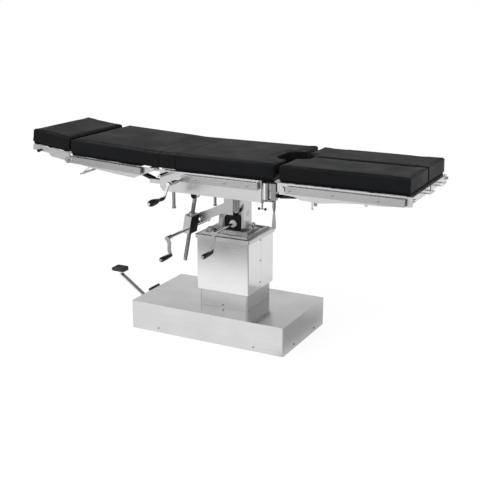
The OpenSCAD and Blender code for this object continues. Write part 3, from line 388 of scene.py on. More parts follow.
# The column: a polished ram lifts a housing of two bent stainless halves, screwed together at the seams
# down its narrow sides, over a fixed sleeve. A bevelled lid closes it round the tilting head's casting.
BENT_ROLL = 0.0010
house_steel = ground_steel("housing_steel", 0.75, "x", (0.11, 0.18), scratch=0.04)
lid_steel = ground_steel("housing_lid_steel", 0.60, "x", (0.26, 0.36))
# The lid's bevel ring is a darker copy of the lid's steel: its lower tone is painted shade that dims the lamp's
# highlight along it.
lid_bevel_painted_shade = ground_steel("lid_bevel_steel", 0.36, "x", (0.40, 0.52))
sleeve_steel = ground_steel("sleeve_steel", 0.56, "z", (0.3, 0.44))
ram_chrome = bright_metal("ram_chrome", 0.78, 0.06)
cast_grey = dark_stuff("grey_cast_cap", (0.30, 0.31, 0.32), 0.4, 0.002, 0.0002)
hub_white = dark_stuff("cream_hub_enamel", (0.62, 0.62, 0.60), 0.35, 0.002, 0.0001)
machined = ground_steel("machined_steel", 0.5, "y", (0.3, 0.45))
for half in ("housing_front", "housing_rear"):
    softened(half, BENT_ROLL, house_steel)
softened("lower_sleeve", BENT_ROLL, sleeve_steel)
# The bevel faces take the darker painted-shade copy of the lid's steel.
softened("column_lid", THICK_ROLL, lid_steel, [
    (cast_grey, lambda x, y, z: -0.112 < x < -0.072 and -0.107 < y < -0.067 and z > 0.5105),
    (lid_bevel_painted_shade, lambda x, y, z: 0.5075 < z < 0.5165 and (abs(y) > 0.1178 or abs(x) > 0.1218))])
softened("column_head", BENT_ROLL, machined, [(chrome, lambda x, y, z: x > 0.08 and z > 0.5235)])
dress(ram_chrome, "lift_ram")
dress(machined, "hydraulic_cylinder", "roll_shaft")
SEAM_SCREW = 0.0037, 0.0022
seam_screws = [((side * 0.141, -0.008, z), (side, 0, 0)) for side in (-1, 1) for z in (0.264, 0.376, 0.479)]
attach(screw_rows("housing_screw_rows", seam_screws, *SEAM_SCREW, screw_metal, "chrome"), "column")

# The sideways tilt: a black bearing casting on the column head carries a worm on a long cranked shaft,
# and its wheel turns the shaft that the yoke of the table top is fixed to.
CAST_ROLL, FORGED_ROLL = 0.0014, 0.0008
cast_black = dark_stuff("black_casting_paint", (0.006, 0.006, 0.0065), 0.38, 0.0016, 0.0004, 0.16)
grip_black = dark_stuff("crank_grip_plastic", (0.005, 0.005, 0.0055), 0.24, 0.003, 0.00004, 0.28)
cap_metal = bright_metal("grip_cap_metal", 0.95, 0.35)
yoke_steel = ground_steel("yoke_steel", 0.60, "z", (0.26, 0.38))
GRIP_SHAPE = ((0, 0.60), (0.015, 0.70), (0.05, 0.72), (0.065, 0.66), (0.08, 0.66), (0.095, 0.76), (0.2, 0.86),
              (0.35, 0.93), (0.55, 0.98), (0.75, 1.0), (0.88, 1.0), (0.94, 0.97), (0.975, 0.90), (0.99, 0.80),
              (0.992, 0.66))


def crank_grip(node, shape=GRIP_SHAPE):
    """A turned grip along Y, from its arm to its blunt end, in the space of its CAD node."""
    low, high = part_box(node)
    radius = (high.x - low.x) / 2
    middle = Vector(((low.x + high.x) / 2, 0, (low.z + high.z) / 2))
    start, end = middle + Vector((0, high.y, 0)), middle + Vector((0, low.y, 0))
    long = (end - start).length
    piece = turned(node + "_fine", [(t * long, r * radius) for t, r in shape], start, end, grip_black, 36)
    tip = long * 0.992
    cap = turned(node + "_end_cap", [(long * 0.985, radius * 0.50), (tip + 0.0007, radius * 0.52),
                                     (tip + 0.0014, radius * 0.48), (tip + 0.0017, radius * 0.4)],
                 start, end, cap_metal, 36)
    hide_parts(node)
    for each, slot in ((piece, "black_plastic"), (cap, "chrome")):
        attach(each, parts[node]["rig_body"])


softened("worm_casting", CAST_ROLL, cast_black)
softened("lateral_crank", FORGED_ROLL, chrome, [
    (hub_white, lambda x, y, z: -0.0605 < y < -0.0495 and z > 0.53)])
crank_grip("lateral_grip")
apron_steel = ground_steel("yoke_apron_steel", 0.40, "z", (0.3, 0.42))
softened("tilt_yoke", FORGED_ROLL, yoke_steel, [
    (apron_steel, lambda x, y, z: y < -0.0642 and 0.610 < z < 0.684)])
softened("tilt_arm", FORGED_ROLL, yoke_steel)

# The tilt drive: a threaded spindle hangs from a clevis under the seat, and a crank turns the nut in a
# black gearbox that climbs it; a pin on the box rides in the slotted end of the yoke's sloping arm.
screw_top = Vector((-0.165, -0.103, 0.690))
screw_lean = math.radians(10.7)
THREAD_LENGTH, THREAD_PITCH, THREAD_RADIUS, THREAD_RIDGE, THREAD_FOOT = 0.286, 0.0036, 0.0092, 0.0010, 0.329


def threaded_spindle():
    """The spindle's eye and plain ends from the lathe, its thread swept by Geometry Nodes."""
    down = Matrix.Translation(screw_top) @ Matrix.Rotation(screw_lean, 4, "Y")
    core = turned("tilt_screw_core", [(0.008, 0.0075), (0.012, 0.0099), (0.040, 0.0099), (0.0415, 0.0082),
                                      (0.3335, 0.0082), (0.335, 0.0098), (0.341, 0.0098), (0.345, 0.0075)],
                  down @ Vector((0, 0, 0)), down @ Vector((0, 0, -0.3)), rod_steel, 28)
    eye = turned("tilt_screw_eye", [(0, 0.0125), (0.001, 0.0138), (0.023, 0.0138), (0.024, 0.0125)],
                 down @ Vector((0, 0.012, 0)), down @ Vector((0, -0.012, 0)), chrome, 32)
    holder = in_scene("tilt_screw_thread", bpy.data.meshes.new("tilt_screw_thread"))
    tree, given, out, sockets = start_rows("spindle_thread", {
        "Turns": "Float", "Length": "Float", "Radius": "Float", "Ridge": "Float", "Finish": "Material"}, False)
    coil = add_node(tree, "GeometryNodeCurveSpiral", {"Resolution": 22})
    ridge = add_node(tree, "GeometryNodeCurvePrimitiveCircle", {"Resolution": 5})
    sweep = add_node(tree, "GeometryNodeCurveToMesh", {"Fill Caps": True})
    real, paint = add_node(tree, "GeometryNodeRealizeInstances"), add_node(tree, "GeometryNodeSetMaterial")
    wire(tree, (given, "Turns", coil, "Rotations"), (given, "Radius", coil, "Start Radius"),
         (given, "Radius", coil, "End Radius"), (given, "Length", coil, "Height"),
         (given, "Ridge", ridge, "Radius"), (coil, "Curve", sweep, "Curve"),
         (ridge, "Curve", sweep, "Profile Curve"), (sweep, "Mesh", real, "Geometry"),
         (real, "Geometry", paint, "Geometry"), (given, "Finish", paint, "Material"),
         (paint, "Geometry", out, "Geometry"))
    run_rows(holder, tree, sockets, {"Turns": THREAD_LENGTH / THREAD_PITCH, "Length": THREAD_LENGTH,
                                     "Radius": THREAD_RADIUS, "Ridge": THREAD_RIDGE, "Finish": rod_steel})
    holder.data.transform(down @ Matrix.Translation((0, 0, -THREAD_FOOT)))
    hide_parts("tilt_screw")
    for piece in (core, eye, holder):
        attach(piece, "screw")


threaded_spindle()
box_steel = ground_steel("gearbox_cover_steel", 0.62, "z", (0.3, 0.42))
softened("tilt_gearbox", THICK_ROLL, cast_black, [
    (box_steel, lambda x, y, z: y < -0.1402 or (screw_top.z - z) * math.cos(screw_lean)
     - (x - screw_top.x) * math.sin(screw_lean) < 0.1006), (chrome, lambda x, y, z: y > -0.0655)])
softened("trend_crank", FORGED_ROLL, chrome)
crank_grip("trend_grip")

# The table frame: two stainless side plates joined by cross beams, with accessory rails on spacers along
# both sides. Black clevis plates under the seat hold the tilt screw, a pin in the saddle the yoke.
PLATE_ROLL, RAIL_ROLL, ROD_ROLL = 0.0007, 0.0014, 0.0006
plate_steel = ground_steel("side_plate_steel", 0.70, "x", (0.24, 0.36))
rail_steel = ground_steel("side_rail_steel", 0.46, "x", (0.22, 0.32))
block_steel = ground_steel("leg_block_steel", 0.30, "z", (0.2, 0.32))
beam_steel = ground_steel("beam_steel", 0.45, "y", (0.32, 0.46))
softened("seat_side_plates", PLATE_ROLL, plate_steel, [
    (chrome, lambda x, y, z: y < -0.2606 and x < -0.20)])
softened("seat_rails", RAIL_ROLL, rail_steel)
softened("seat_beams", FORGED_ROLL, beam_steel, [
    (cast_black, lambda x, y, z: -0.21 < x < -0.12 and y < -0.078 and z < 0.7505),
    (plate_steel, lambda x, y, z: x < -0.2612)])
softened("leg_sockets", BENT_ROLL, chrome)
for side in ("near", "far"):
    softened(side + "_t_handle", ROD_ROLL, rod_steel, [
        (grip_black, lambda x, y, z: z < 0.708 and abs(x - 0.262) > 0.0098)])

# The kidney bridge: a plated cross plate under its own pad, on two round racks that a crank on the near
# side lifts through two closed gearboxes.
softened("bridge_gearboxes", THICK_ROLL, machined)
softened("bridge_lift", FORGED_ROLL, rod_steel)
softened("bridge_crank", FORGED_ROLL, chrome)
PEAR_SHAPE = ((0, 0.50), (0.01, 0.62), (0.12, 0.68), (0.20, 0.60), (0.28, 0.58), (0.34, 0.66), (0.45, 0.88),
              (0.58, 1.06), (0.70, 1.16), (0.82, 1.16), (0.91, 1.02), (0.96, 0.84), (0.985, 0.68), (0.992, 0.56))
crank_grip("bridge_grip", PEAR_SHAPE)

# The back section: tapering side plates hinged to the seat's, with cross bars, rails, a gas strut on the
# near side and the pull lever that lets it go.
strut_black = dark_stuff("gas_strut_enamel", (0.006, 0.006, 0.0065), 0.26, 0.004, 0.00005, 0.3)
softened("back_side_plates", PLATE_ROLL, plate_steel)
softened("back_beams", FORGED_ROLL, beam_steel)
softened("back_rails", RAIL_ROLL, rail_steel)
softened("back_release_lever", FORGED_ROLL, rod_steel)
low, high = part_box("back_release_lever")
lever_y = (low.y + high.y) / 2
stay = turned("back_release_stay", [(0, 0.0020), (0.001, 0.0026), (0.082, 0.0026), (0.083, 0.0020)],
              (low.x + 0.012, lever_y, low.z + 0.0085), (low.x + 0.080, lever_y - 0.001, high.z - 0.002), chrome, 20)
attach(stay, "back_lever")
softened("back_strut_rod", ROD_ROLL, chrome)


def gas_strut(node, foot, eye, radius, length):
    """A gas strut's enamelled cylinder with its crimped neck and its eye, along the line of its CAD node."""
    foot, eye = Vector(foot), Vector(eye)
    way = (eye - foot).normalized()
    barrel = turned(node + "_fine", [(0.019, radius * 0.6), (0.020, radius * 0.86), (0.023, radius), (length - 0.012,
                    radius), (length - 0.009, radius * 0.94), (length - 0.007, radius), (length - 0.002, radius * 0.9),
                    (length, radius * 0.55)], foot, foot + way, strut_black, 36)
    loop = turned(node + "_eye", [(0, 0.0080), (0.001, 0.0090), (0.011, 0.0090), (0.012, 0.0080)],
                  foot - Vector((0, 0.006, 0)), foot + Vector((0, 0.006, 0)), strut_black, 28)
    neck = turned(node + "_neck", [(0.005, 0.0045), (0.021, 0.0045)], foot, foot + way, strut_black, 20)
    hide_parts(node)
    for piece in (barrel, loop, neck):
        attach(piece, parts[node]["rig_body"])


gas_strut("back_strut_cylinder", (-0.301, -0.216, 0.768), (-0.450, -0.216, 0.818), 0.0118, 0.126)

# The head section: a light frame of two shaped stainless plates and three cross bars, on hinges at the end
# of the back's plates. A lobed knob of black plastic on its near side clamps it.
softened("head_frame", PLATE_ROLL, plate_steel)
softened("head_knob", CAST_ROLL, grip_black)

# The leg sections: two separate frames that splay on upright pins and fold down on hinges, each held by
# a gas strut, with a clamping bar at its pivot and a looped pull handle at its foot end.
for side in ("near", "far"):
    # The block's top faces take the black casting paint as painted shade, so the gap between the pads reads dark.
    softened(side + "_leg_block", BENT_ROLL, block_steel, [
        (cast_black, lambda x, y, z: z > 0.8262), (plate_steel, lambda x, y, z: abs(y) > 0.2602 and x > 0.345)])
    softened(side + "_spoon_handle", FORGED_ROLL, rod_steel)
    softened(side + "_leg_frame", FORGED_ROLL, plate_steel, [(chrome, lambda x, y, z: x > 0.9625)])
    softened(side + "_leg_rail", RAIL_ROLL, rail_steel)
    softened(side + "_strut_cylinder", BENT_ROLL, strut_black)
    softened(side + "_strut_rod", ROD_ROLL, chrome)

# The pads: foam blocks on laminated boards, wrapped in black coated fabric with welted and stitched seams along the
# top edge and down the corners. The boards are drawn back, so a dark shadow line runs under each, and their black
# laminate is painted darker than the fabric as painted shade along that line.
LEATHER = (0.0074, 0.0076, 0.0084)
BOARD = 0.009
PAD_FLOOR = 0.834
PAD_HALF = 0.260
CORNER = 0.008
EDGE_ROLL = 0.0045
START_SMALL = 0.0010
CELL = 0.012


def coated_fabric(name):
    """Black coated fabric: pebbled grain, soft wrinkles, a low sheen that is brighter where it is worn."""
    finish, tree, skin = start_finish(name, LEATHER, 0.0, 0.46)
    skin.inputs["Specular IOR Level"].default_value = 0.085
    skin.inputs["Specular Tint"].default_value = (0.90, 0.95, 1.0, 1)
    where = add_node(tree, "ShaderNodeTexCoord")
    pebbles = add_node(tree, "ShaderNodeTexVoronoi", {"Scale": 620, "Smoothness": 0.6}, feature="SMOOTH_F1")
    wire(tree, (where, "Object", pebbles, "Vector"))
    wrinkle = speckle(tree, (34, 34, 60), 5)
    wear = speckle(tree, (7, 7, 7), 4)
    pebble = spread_value(tree, pebbles.outputs["Distance"], 1.0, 0.0, 0.0, 0.9)
    height = combine(tree, "ADD", pebble, spread_value(tree, wrinkle, 0.0, 0.8))
    both = combine(tree, "MULTIPLY", spread_value(tree, pebble, 0.82, 1.12, 0.0, 1.0),
                   spread_value(tree, wear, 0.85, 1.2))
    shade_colour(tree, skin, LEATHER, both)
    dull = combine(tree, "ADD", spread_value(tree, wear, 0.40, 0.52),
                   spread_value(tree, pebble, 0.04, -0.02, 0.0, 1.0))
    tree.links.new(dull, skin.inputs["Roughness"])
    relief(tree, skin, height, 0.00022, 0.45)
    return finish


def rounded_outline(corners, radii, step=0.012):
    """A closed anticlockwise outline with its corners rounded and its long runs divided."""
    points = []
    count = len(corners)
    for i, (corner, radius) in enumerate(zip(corners, radii)):
        here = Vector(corner)
        back, on = (Vector(corners[i - 1]) - here), (Vector(corners[(i + 1) % count]) - here)
        back.normalize(), on.normalize()
        half = back.angle(on) / 2
        centre = here + (back + on).normalized() * radius / math.sin(half)
        first, last = here + back * radius / math.tan(half), here + on * radius / math.tan(half)
        a, b = math.atan2(*(first - centre).yx), math.atan2(*(last - centre).yx)
        sweep = (b - a + math.pi) % math.tau - math.pi
        parts_of_arc = max(4, int(abs(sweep) / math.radians(11)))
        for k in range(parts_of_arc + 1):
            angle = a + sweep * k / parts_of_arc
            points.append(centre + radius * Vector((math.cos(angle), math.sin(angle))))
    full = []
    for here, ahead in zip(points, points[1:] + points[:1]):
        pieces = max(1, int((ahead - here).length / step))
        full += [here.lerp(ahead, k / pieces) for k in range(pieces)]
    return full


def drawn_in(outline, inset):
    """The outline moved inwards, point by point along its own normals."""
    moved = []
    for before, here, after in zip(outline[-1:] + outline[:-1], outline, outline[1:] + outline[:1]):
        one, two = (here - before).normalized(), (after - here).normalized()
        side = Vector((-one.y - two.y, one.x + two.x))
        side.normalize()
        lean = max(0.5, abs(side.dot(Vector((-two.y, two.x)))))
        moved.append(here + side * inset / lean)
    return moved


def stacked(name, outline, levels, finish):
    """A closed form of rings of one outline: levels are (height, inset) pairs."""
    form = bmesh.new()
    close_rings(form, [[form.verts.new((p.x, p.y, z)) for p in drawn_in(outline, inset)] for z, inset in levels])
    return in_scene(name, to_mesh(form, name, finish))


def inflate(piece, floor, side_cap, top_cap, frames=14):
    """Blows the cover up with the cloth solver; its foot is pinned and no point moves past the caps."""
    rest = [v.co.copy() for v in piece.data.vertices]
    foot = piece.vertex_groups.new(name="foot")
    foot.add([i for i, co in enumerate(rest) if co.z < floor + 0.006], 1.0, "REPLACE")
    cloth = piece.modifiers.new("cover", "CLOTH")
    feel = cloth.settings
    feel.vertex_group_mass = "foot"
    feel.quality = 4
    feel.mass = 0.25
    feel.tension_stiffness = feel.compression_stiffness = 18
    feel.bending_stiffness = 1.2
    feel.use_pressure = True
    feel.uniform_pressure_force = 4.0
    feel.effector_weights.gravity = 0
    cloth.collision_settings.use_collision = False
    cloth.point_cache.frame_start, cloth.point_cache.frame_end = 1, frames
    for number in range(1, frames + 1):
        bpy.context.scene.frame_set(number)
    seen = piece.evaluated_get(bpy.context.evaluated_depsgraph_get())
    moved = [v.co.copy() for v in seen.data.vertices]
    piece.modifiers.clear()
    piece.vertex_groups.clear()
    bpy.context.scene.frame_set(1)
    for vert, old, new in zip(piece.data.vertices, rest, moved):
        step = new - old
        vert.co = old + Vector((max(-side_cap, min(side_cap, step.x)), max(-side_cap, min(side_cap, step.y)),
                                max(-0.0005, min(top_cap, step.z))))


def cushion(name, corners, radii, low, high, finish, side_cap=0.0014, top_cap=0.003):
    """One stuffed cover from its board up: lofted with a tight top edge, cut into cells, then blown up."""
    outline = rounded_outline(corners, radii, 10)
    rise = high - low
    levels = [(low, 0.006), (low + 0.0015, 0.003), (low + 0.005, 0.0008), (low + 0.010, 0.0), (low + rise * 0.4, 0.0),
              (low + rise * 0.65, 0.0), (high - EDGE_ROLL - 0.003, 0.0)]
    for k in range(5):
        turn = math.radians(22.5 * k)
        levels.append((high - EDGE_ROLL * (1 - math.sin(turn)), EDGE_ROLL * (1 - math.cos(turn))))
    levels.append((high, EDGE_ROLL + 0.003))
    piece = stacked(name, outline, [(z, inset + START_SMALL) for z, inset in levels], finish)
    work = bmesh.new()
    work.from_mesh(piece.data)
    for axis in (0, 1):
        first, last = min(c[axis] for c in corners), max(c[axis] for c in corners)
        cells = max(2, round((last - first) / CELL))
        way = Vector((1 - axis, axis, 0))
        for k in range(1, cells):
            bmesh.ops.bisect_plane(work, geom=work.verts[:] + work.edges[:] + work.faces[:],
                                   plane_co=way * (first + (last - first) * (k + 0.03) / cells), plane_no=way)
    bmesh.ops.remove_doubles(work, verts=work.verts, dist=0.0003)
    bmesh.ops.recalc_face_normals(work, faces=work.faces)
    for face in work.faces:
        face.smooth = True
    work.to_mesh(piece.data)
    work.free()
    inflate(piece, low, side_cap, top_cap)
    return piece, rounded_outline(corners, radii)


def pad_board(name, outline, low, finish, thick=BOARD):
    """The laminated board under a cushion, its edge rounded and drawn back."""
    return stacked(name, outline, [(low + 0.0002, 0.0080), (low + 0.0015, 0.0065), (low + thick - 0.001, 0.0065),
                                   (low + thick + 0.003, 0.0105)], finish)


def on_cover(piece, points, lift):
    """Points moved to the nearest place of a cover, then off it by lift, with the way out at each."""
    tree = BVHTree.FromObject(piece, bpy.context.evaluated_depsgraph_get())
    found = []
    for point in points:
        place, way, _, _ = tree.find_nearest(point)
        found.append(place + way * lift)
    return found


WELT_RADIUS, STITCH_PITCH, STITCH_LENGTH, STITCH_RADIUS = 0.0011, 0.0075, 0.0026, 0.0013


def seam_lines(name, runs, finish, thread):
    """Welts and stitches by Geometry Nodes. runs are (points, closed) pairs in order along each seam."""
    lines = bpy.data.meshes.new(name)
    verts, edges = [], []
    for points, closed in runs:
        first = len(verts)
        verts += [tuple(p) for p in points]
        edges += [(first + k, first + k + 1) for k in range(len(points) - 1)]
        if closed:
            edges.append((len(verts) - 1, first))
    lines.from_pydata(verts, edges, [])
    piece = in_scene(name, lines)
    tree, given, out, sockets = start_rows(name + "_sewing", {
        "Welt radius": "Float", "Stitch pitch": "Float", "Stitch length": "Float", "Thread radius": "Float",
        "Cover": "Material", "Thread": "Material"})
    curve = add_node(tree, "GeometryNodeMeshToCurve")
    ring = add_node(tree, "GeometryNodeCurvePrimitiveCircle", {"Resolution": 8})
    sweep = add_node(tree, "GeometryNodeCurveToMesh", {"Fill Caps": True})
    dots = add_node(tree, "GeometryNodeCurveToPoints", mode="LENGTH")
    on = add_node(tree, "GeometryNodeInstanceOnPoints")
    stitch = add_node(tree, "GeometryNodeMeshUVSphere", {"Segments": 6, "Rings": 5, "Radius": 1})
    squeeze = add_node(tree, "ShaderNodeCombineXYZ")
    real = add_node(tree, "GeometryNodeRealizeInstances")
    paint, dye = add_node(tree, "GeometryNodeSetMaterial"), add_node(tree, "GeometryNodeSetMaterial")
    both = add_node(tree, "GeometryNodeJoinGeometry")
    wire(tree, (given, "Geometry", curve, "Mesh"), (curve, "Curve", sweep, "Curve"),
         (given, "Welt radius", ring, "Radius"), (ring, "Curve", sweep, "Profile Curve"),
         (sweep, "Mesh", paint, "Geometry"), (given, "Cover", paint, "Material"), (curve, "Curve", dots, "Curve"),
         (given, "Stitch pitch", dots, "Length"), (dots, "Points", on, "Points"), (dots, "Rotation", on, "Rotation"),
         (stitch, "Mesh", on, "Instance"), (given, "Thread radius", squeeze, "X"),
         (given, "Thread radius", squeeze, "Y"), (given, "Stitch length", squeeze, "Z"),
         (squeeze, "Vector", on, "Scale"), (on, "Instances", real, "Geometry"), (real, "Geometry", dye, "Geometry"),
         (given, "Thread", dye, "Material"), (paint, "Geometry", both, "Geometry"),
         (dye, "Geometry", both, "Geometry"), (both, "Geometry", out, "Geometry"))
    run_rows(piece, tree, sockets, {
        "Welt radius": WELT_RADIUS, "Stitch pitch": STITCH_PITCH, "Stitch length": STITCH_LENGTH,
        "Thread radius": STITCH_RADIUS, "Cover": finish, "Thread": thread})
    for polygon in piece.data.polygons:
        polygon.use_smooth = True
    return piece


def seam_runs(piece, outline, corners, low, high, start=-9, end=9):
    """The seam on the top edge between two places along x, and one down each outer corner of a cover."""
    flags = [start < p.x < end for p in outline]
    first = 0 if all(flags) else flags.index(False)
    runs, run = [], []
    for k in range(len(outline) + (not all(flags))):
        point = outline[(first + k) % len(outline)]
        if start < point.x < end:
            run.append(Vector((point.x, point.y, high - 0.001)))
        elif len(run) > 1:
            runs.append((on_cover(piece, run, -0.0003), False))
            run = []
    if len(run) > 1:
        runs.append((on_cover(piece, run, -0.0003), all(flags)))
    for corner in corners:
        near = min(outline, key=lambda p: (p - Vector(corner)).length)
        rise = [Vector((near.x, near.y, low + 0.004 + (high - low - 0.010) * k / 8)) for k in range(9)]
        runs.append((on_cover(piece, rise, -0.0004), False))
    return runs


SLIT_ROUND, RIM_IN = 0.0022, 0.0012


def cut_out(piece, name, start, end):
    """The part of a cover between two places along x: its cut ends are closed and their rims turned in."""
    form = bmesh.new()
    form.from_mesh(piece.data)
    for place, way in ((start, -1), (end, 1)):
        if abs(place) > 1:
            continue
        out = Vector((way, 0, 0))
        bmesh.ops.bisect_plane(form, geom=form.verts[:] + form.edges[:] + form.faces[:],
                               plane_co=(place - way * SLIT_ROUND, 0, 0), plane_no=out)
        cut = bmesh.ops.bisect_plane(form, geom=form.verts[:] + form.edges[:] + form.faces[:], plane_co=(place, 0, 0),
                                     plane_no=out, clear_outer=True)
        rim = [edge for edge in cut["geom_cut"] if isinstance(edge, bmesh.types.BMEdge)]
        verts = {vert for edge in rim for vert in edge.verts}
        low, high = min(v.co.z for v in verts), max(v.co.z for v in verts)
        wide = max(abs(v.co.y) for v in verts)
        for vert in verts:
            vert.co.y *= 1 - RIM_IN / wide
            vert.co.z += RIM_IN if vert.co.z < (low + high) / 2 else -RIM_IN
        for face in bmesh.ops.holes_fill(form, edges=rim, sides=0)["faces"]:
            face.smooth = False
            for edge in face.edges:
                edge.smooth = False
    return in_scene(name, to_mesh(form, name, piece.data.materials[0]))


cover_black = coated_fabric("black_coated_fabric")
# Black laminate, made darker than the cover as painted shade for the shadow line under each pad.
board_black_and_painted_shade = dark_stuff("pad_board_laminate_painted_shade", (0.003, 0.003, 0.0035), 0.6, 0.004, 0.0001, 0.1)
thread_black = dark_stuff("seam_thread", (0.03, 0.03, 0.032), 0.6, 0.0006, 0.0001, 0.3)


def upholster(node, corners, radii, low, high, seamed):
    """A pad that stands for its CAD node: cushion, board and seams, returned to be fixed to a body."""
    piece, outline = cushion(node + "_cover", corners, radii, low + BOARD, high, cover_black)
    board = pad_board(node + "_board", outline, low, board_black_and_painted_shade)
    seams = seam_lines(node + "_seams", seam_runs(piece, outline, seamed, low + BOARD, high), cover_black,
                       thread_black)
    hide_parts(node)
    return piece, board, seams


def rectangle(x0, x1, y0, y1):
    """The corners of a rectangle, anticlockwise."""
    return [(x0, y0), (x1, y0), (x1, y1), (x0, y1)]


def fixed_to(body, *pieces):
    """Pieces of a pad that move with one body."""
    for piece in pieces:
        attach(piece, body)


# The long mattress: one cover from the head end of the back to the notch in the seat's foot end, blown up
# whole, then slit in hairlines at both edges of the bridge. Over the waist hinge its foam has no board.
NOTCH_X, NOTCH_Y0, NOTCH_Y1, NOTCH_ROUND = 0.255, -0.117, 0.093, 0.062
BACK_HINGE = Vector((-0.283, 0, 0.832))
BACK_RISE = math.radians(2.72)
FOLD_START, FOLD_END = -0.275, -0.372
BRIDGE_START, BRIDGE_END = -0.271, -0.179
MATTRESS_TOP = 0.9115
BACK_END, SEAT_END = -0.787, 0.327
long_corners = [(BACK_END, -PAD_HALF), (SEAT_END, -PAD_HALF), (SEAT_END, NOTCH_Y0), (NOTCH_X, NOTCH_Y0),
                (NOTCH_X, NOTCH_Y1), (SEAT_END, NOTCH_Y1), (SEAT_END, PAD_HALF), (BACK_END, PAD_HALF)]
long_rounds = [CORNER, 0.012, 0.010, NOTCH_ROUND, NOTCH_ROUND, 0.010, 0.012, CORNER]
mattress, long_outline = cushion("long_mattress", long_corners, long_rounds, PAD_FLOOR + BOARD, MATTRESS_TOP,
                                 cover_black)
seamed_corners = {"seat": [long_corners[k] for k in (1, 2, 5, 6)], "bridge": [],
                  "back": [long_corners[0], long_corners[7]]}
runs_from = {"seat": (BRIDGE_END + 0.0005, 9), "bridge": (BRIDGE_START + 0.0005, BRIDGE_END - 0.0005),
             "back": (-9, BRIDGE_START - 0.0005)}
covers, sewing = {}, {}
for part, (start, end) in runs_from.items():
    covers[part] = cut_out(mattress, part + "_cover", start, end)
    sewing[part] = seam_lines(part + "_seams", seam_runs(mattress, long_outline, seamed_corners[part],
                              PAD_FLOOR + BOARD, MATTRESS_TOP, start, end), cover_black, thread_black)
bpy.data.objects.remove(mattress)
seat_board = pad_board("seat_board", rounded_outline(
    [(-0.178, -PAD_HALF)] + long_corners[1:7] + [(-0.178, PAD_HALF)], long_rounds), PAD_FLOOR, board_black_and_painted_shade)
bridge_board = pad_board("bridge_board", rounded_outline(
    rectangle(-0.270, -0.180, -PAD_HALF, PAD_HALF), [CORNER] * 4), PAD_FLOOR + 0.008, board_black_and_painted_shade, 0.004)
back_board = pad_board("back_board", rounded_outline(
    rectangle(BACK_END, FOLD_END + 0.004, -PAD_HALF, PAD_HALF), [CORNER] * 4), PAD_FLOOR, board_black_and_painted_shade)
for piece in (covers["back"], back_board, sewing["back"]):
    for vert in piece.data.vertices:
        share = max(0, min(1, (vert.co.x - FOLD_START) / (FOLD_END - FOLD_START)))
        share = 1 if piece is back_board else share * share * (3 - 2 * share)
        swung = Matrix.Rotation(BACK_RISE, 3, "Y") @ (vert.co - BACK_HINGE) + BACK_HINGE
        vert.co = vert.co.lerp(swung, share)
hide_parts("seat_pad")
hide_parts("bridge_pad")
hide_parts("back_pad", "waist_fold")
fixed_to("table_frame", covers["seat"], sewing["seat"], seat_board)
fixed_to("bridge", covers["bridge"], sewing["bridge"], bridge_board)
fixed_to("back", back_board)
for piece in (covers["back"], sewing["back"]):
    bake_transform(piece)

# The head pad: foam in the same black fabric on its own board, a little narrower than the back's. It is made
# level, then swung up with its frame about the head hinge.
HEAD_HINGE = Vector((-0.805, 0, 0.832))
HEAD_RISE = math.radians(6.5)
HEAD_HALF, HEAD_FLOOR, HEAD_THICK = 0.233, HEAD_HINGE.z + 0.033, 0.072
head_corners = rectangle(HEAD_HINGE.x - 0.246, HEAD_HINGE.x - 0.012, -HEAD_HALF, HEAD_HALF)
head_parts = upholster("head_pad", head_corners, [CORNER] * 4, HEAD_FLOOR, HEAD_FLOOR + HEAD_THICK, head_corners)
for piece in head_parts:
    piece.data.transform(Matrix.Translation(HEAD_HINGE) @ Matrix.Rotation(HEAD_RISE, 4, "Y")
                         @ Matrix.Translation(-HEAD_HINGE))
fixed_to("head", *head_parts)

# The two leg pads: foam blocks on boards, in the same fabric, each with its inner corner cut away beside the
# notch. Each is fixed to its own leg frame and parts from the other when the legs splay.
LEG_START, LEG_CUT, LEG_END, LEG_GAP, LEG_TOP = 0.350, 0.401, 0.952, 0.002, 0.909
for side, sign in (("near", -1), ("far", 1)):
    leg_corners = [(LEG_START, sign * PAD_HALF), (LEG_END, sign * PAD_HALF), (LEG_END, sign * LEG_GAP),
                   (LEG_CUT, sign * LEG_GAP), (LEG_CUT, sign * 0.040), (LEG_START, sign * 0.079)]
    seamed = leg_corners[:3]
    if sign > 0:
        leg_corners.reverse()
    fixed_to(side + "_leg", *upholster(side + "_leg_pad", leg_corners, [CORNER] * 6, PAD_FLOOR, LEG_TOP, seamed))

# The studio: a white floor and surround without a join, and two large soft lamps. Polished metal sees the surround
# fall off with height, and in front a painted reflection: darker stretches that the floor glows only towards mirrored
# rays, which draw its streaks.
SURROUND_LIGHT = 0.80


def ramp_between(tree, source, stops):
    """A value read off a row of (place, value) stops, the places between 0 and 1."""
    ramp = tree.nodes.new("ShaderNodeValToRGB")
    while len(ramp.color_ramp.elements) < len(stops):
        ramp.color_ramp.elements.new(0.5)
    for element, (place, value) in zip(ramp.color_ramp.elements, stops):
        element.position = place
        element.color = (value, value, value, 1)
    tree.links.new(source, ramp.inputs["Fac"])
    return ramp.outputs["Color"]


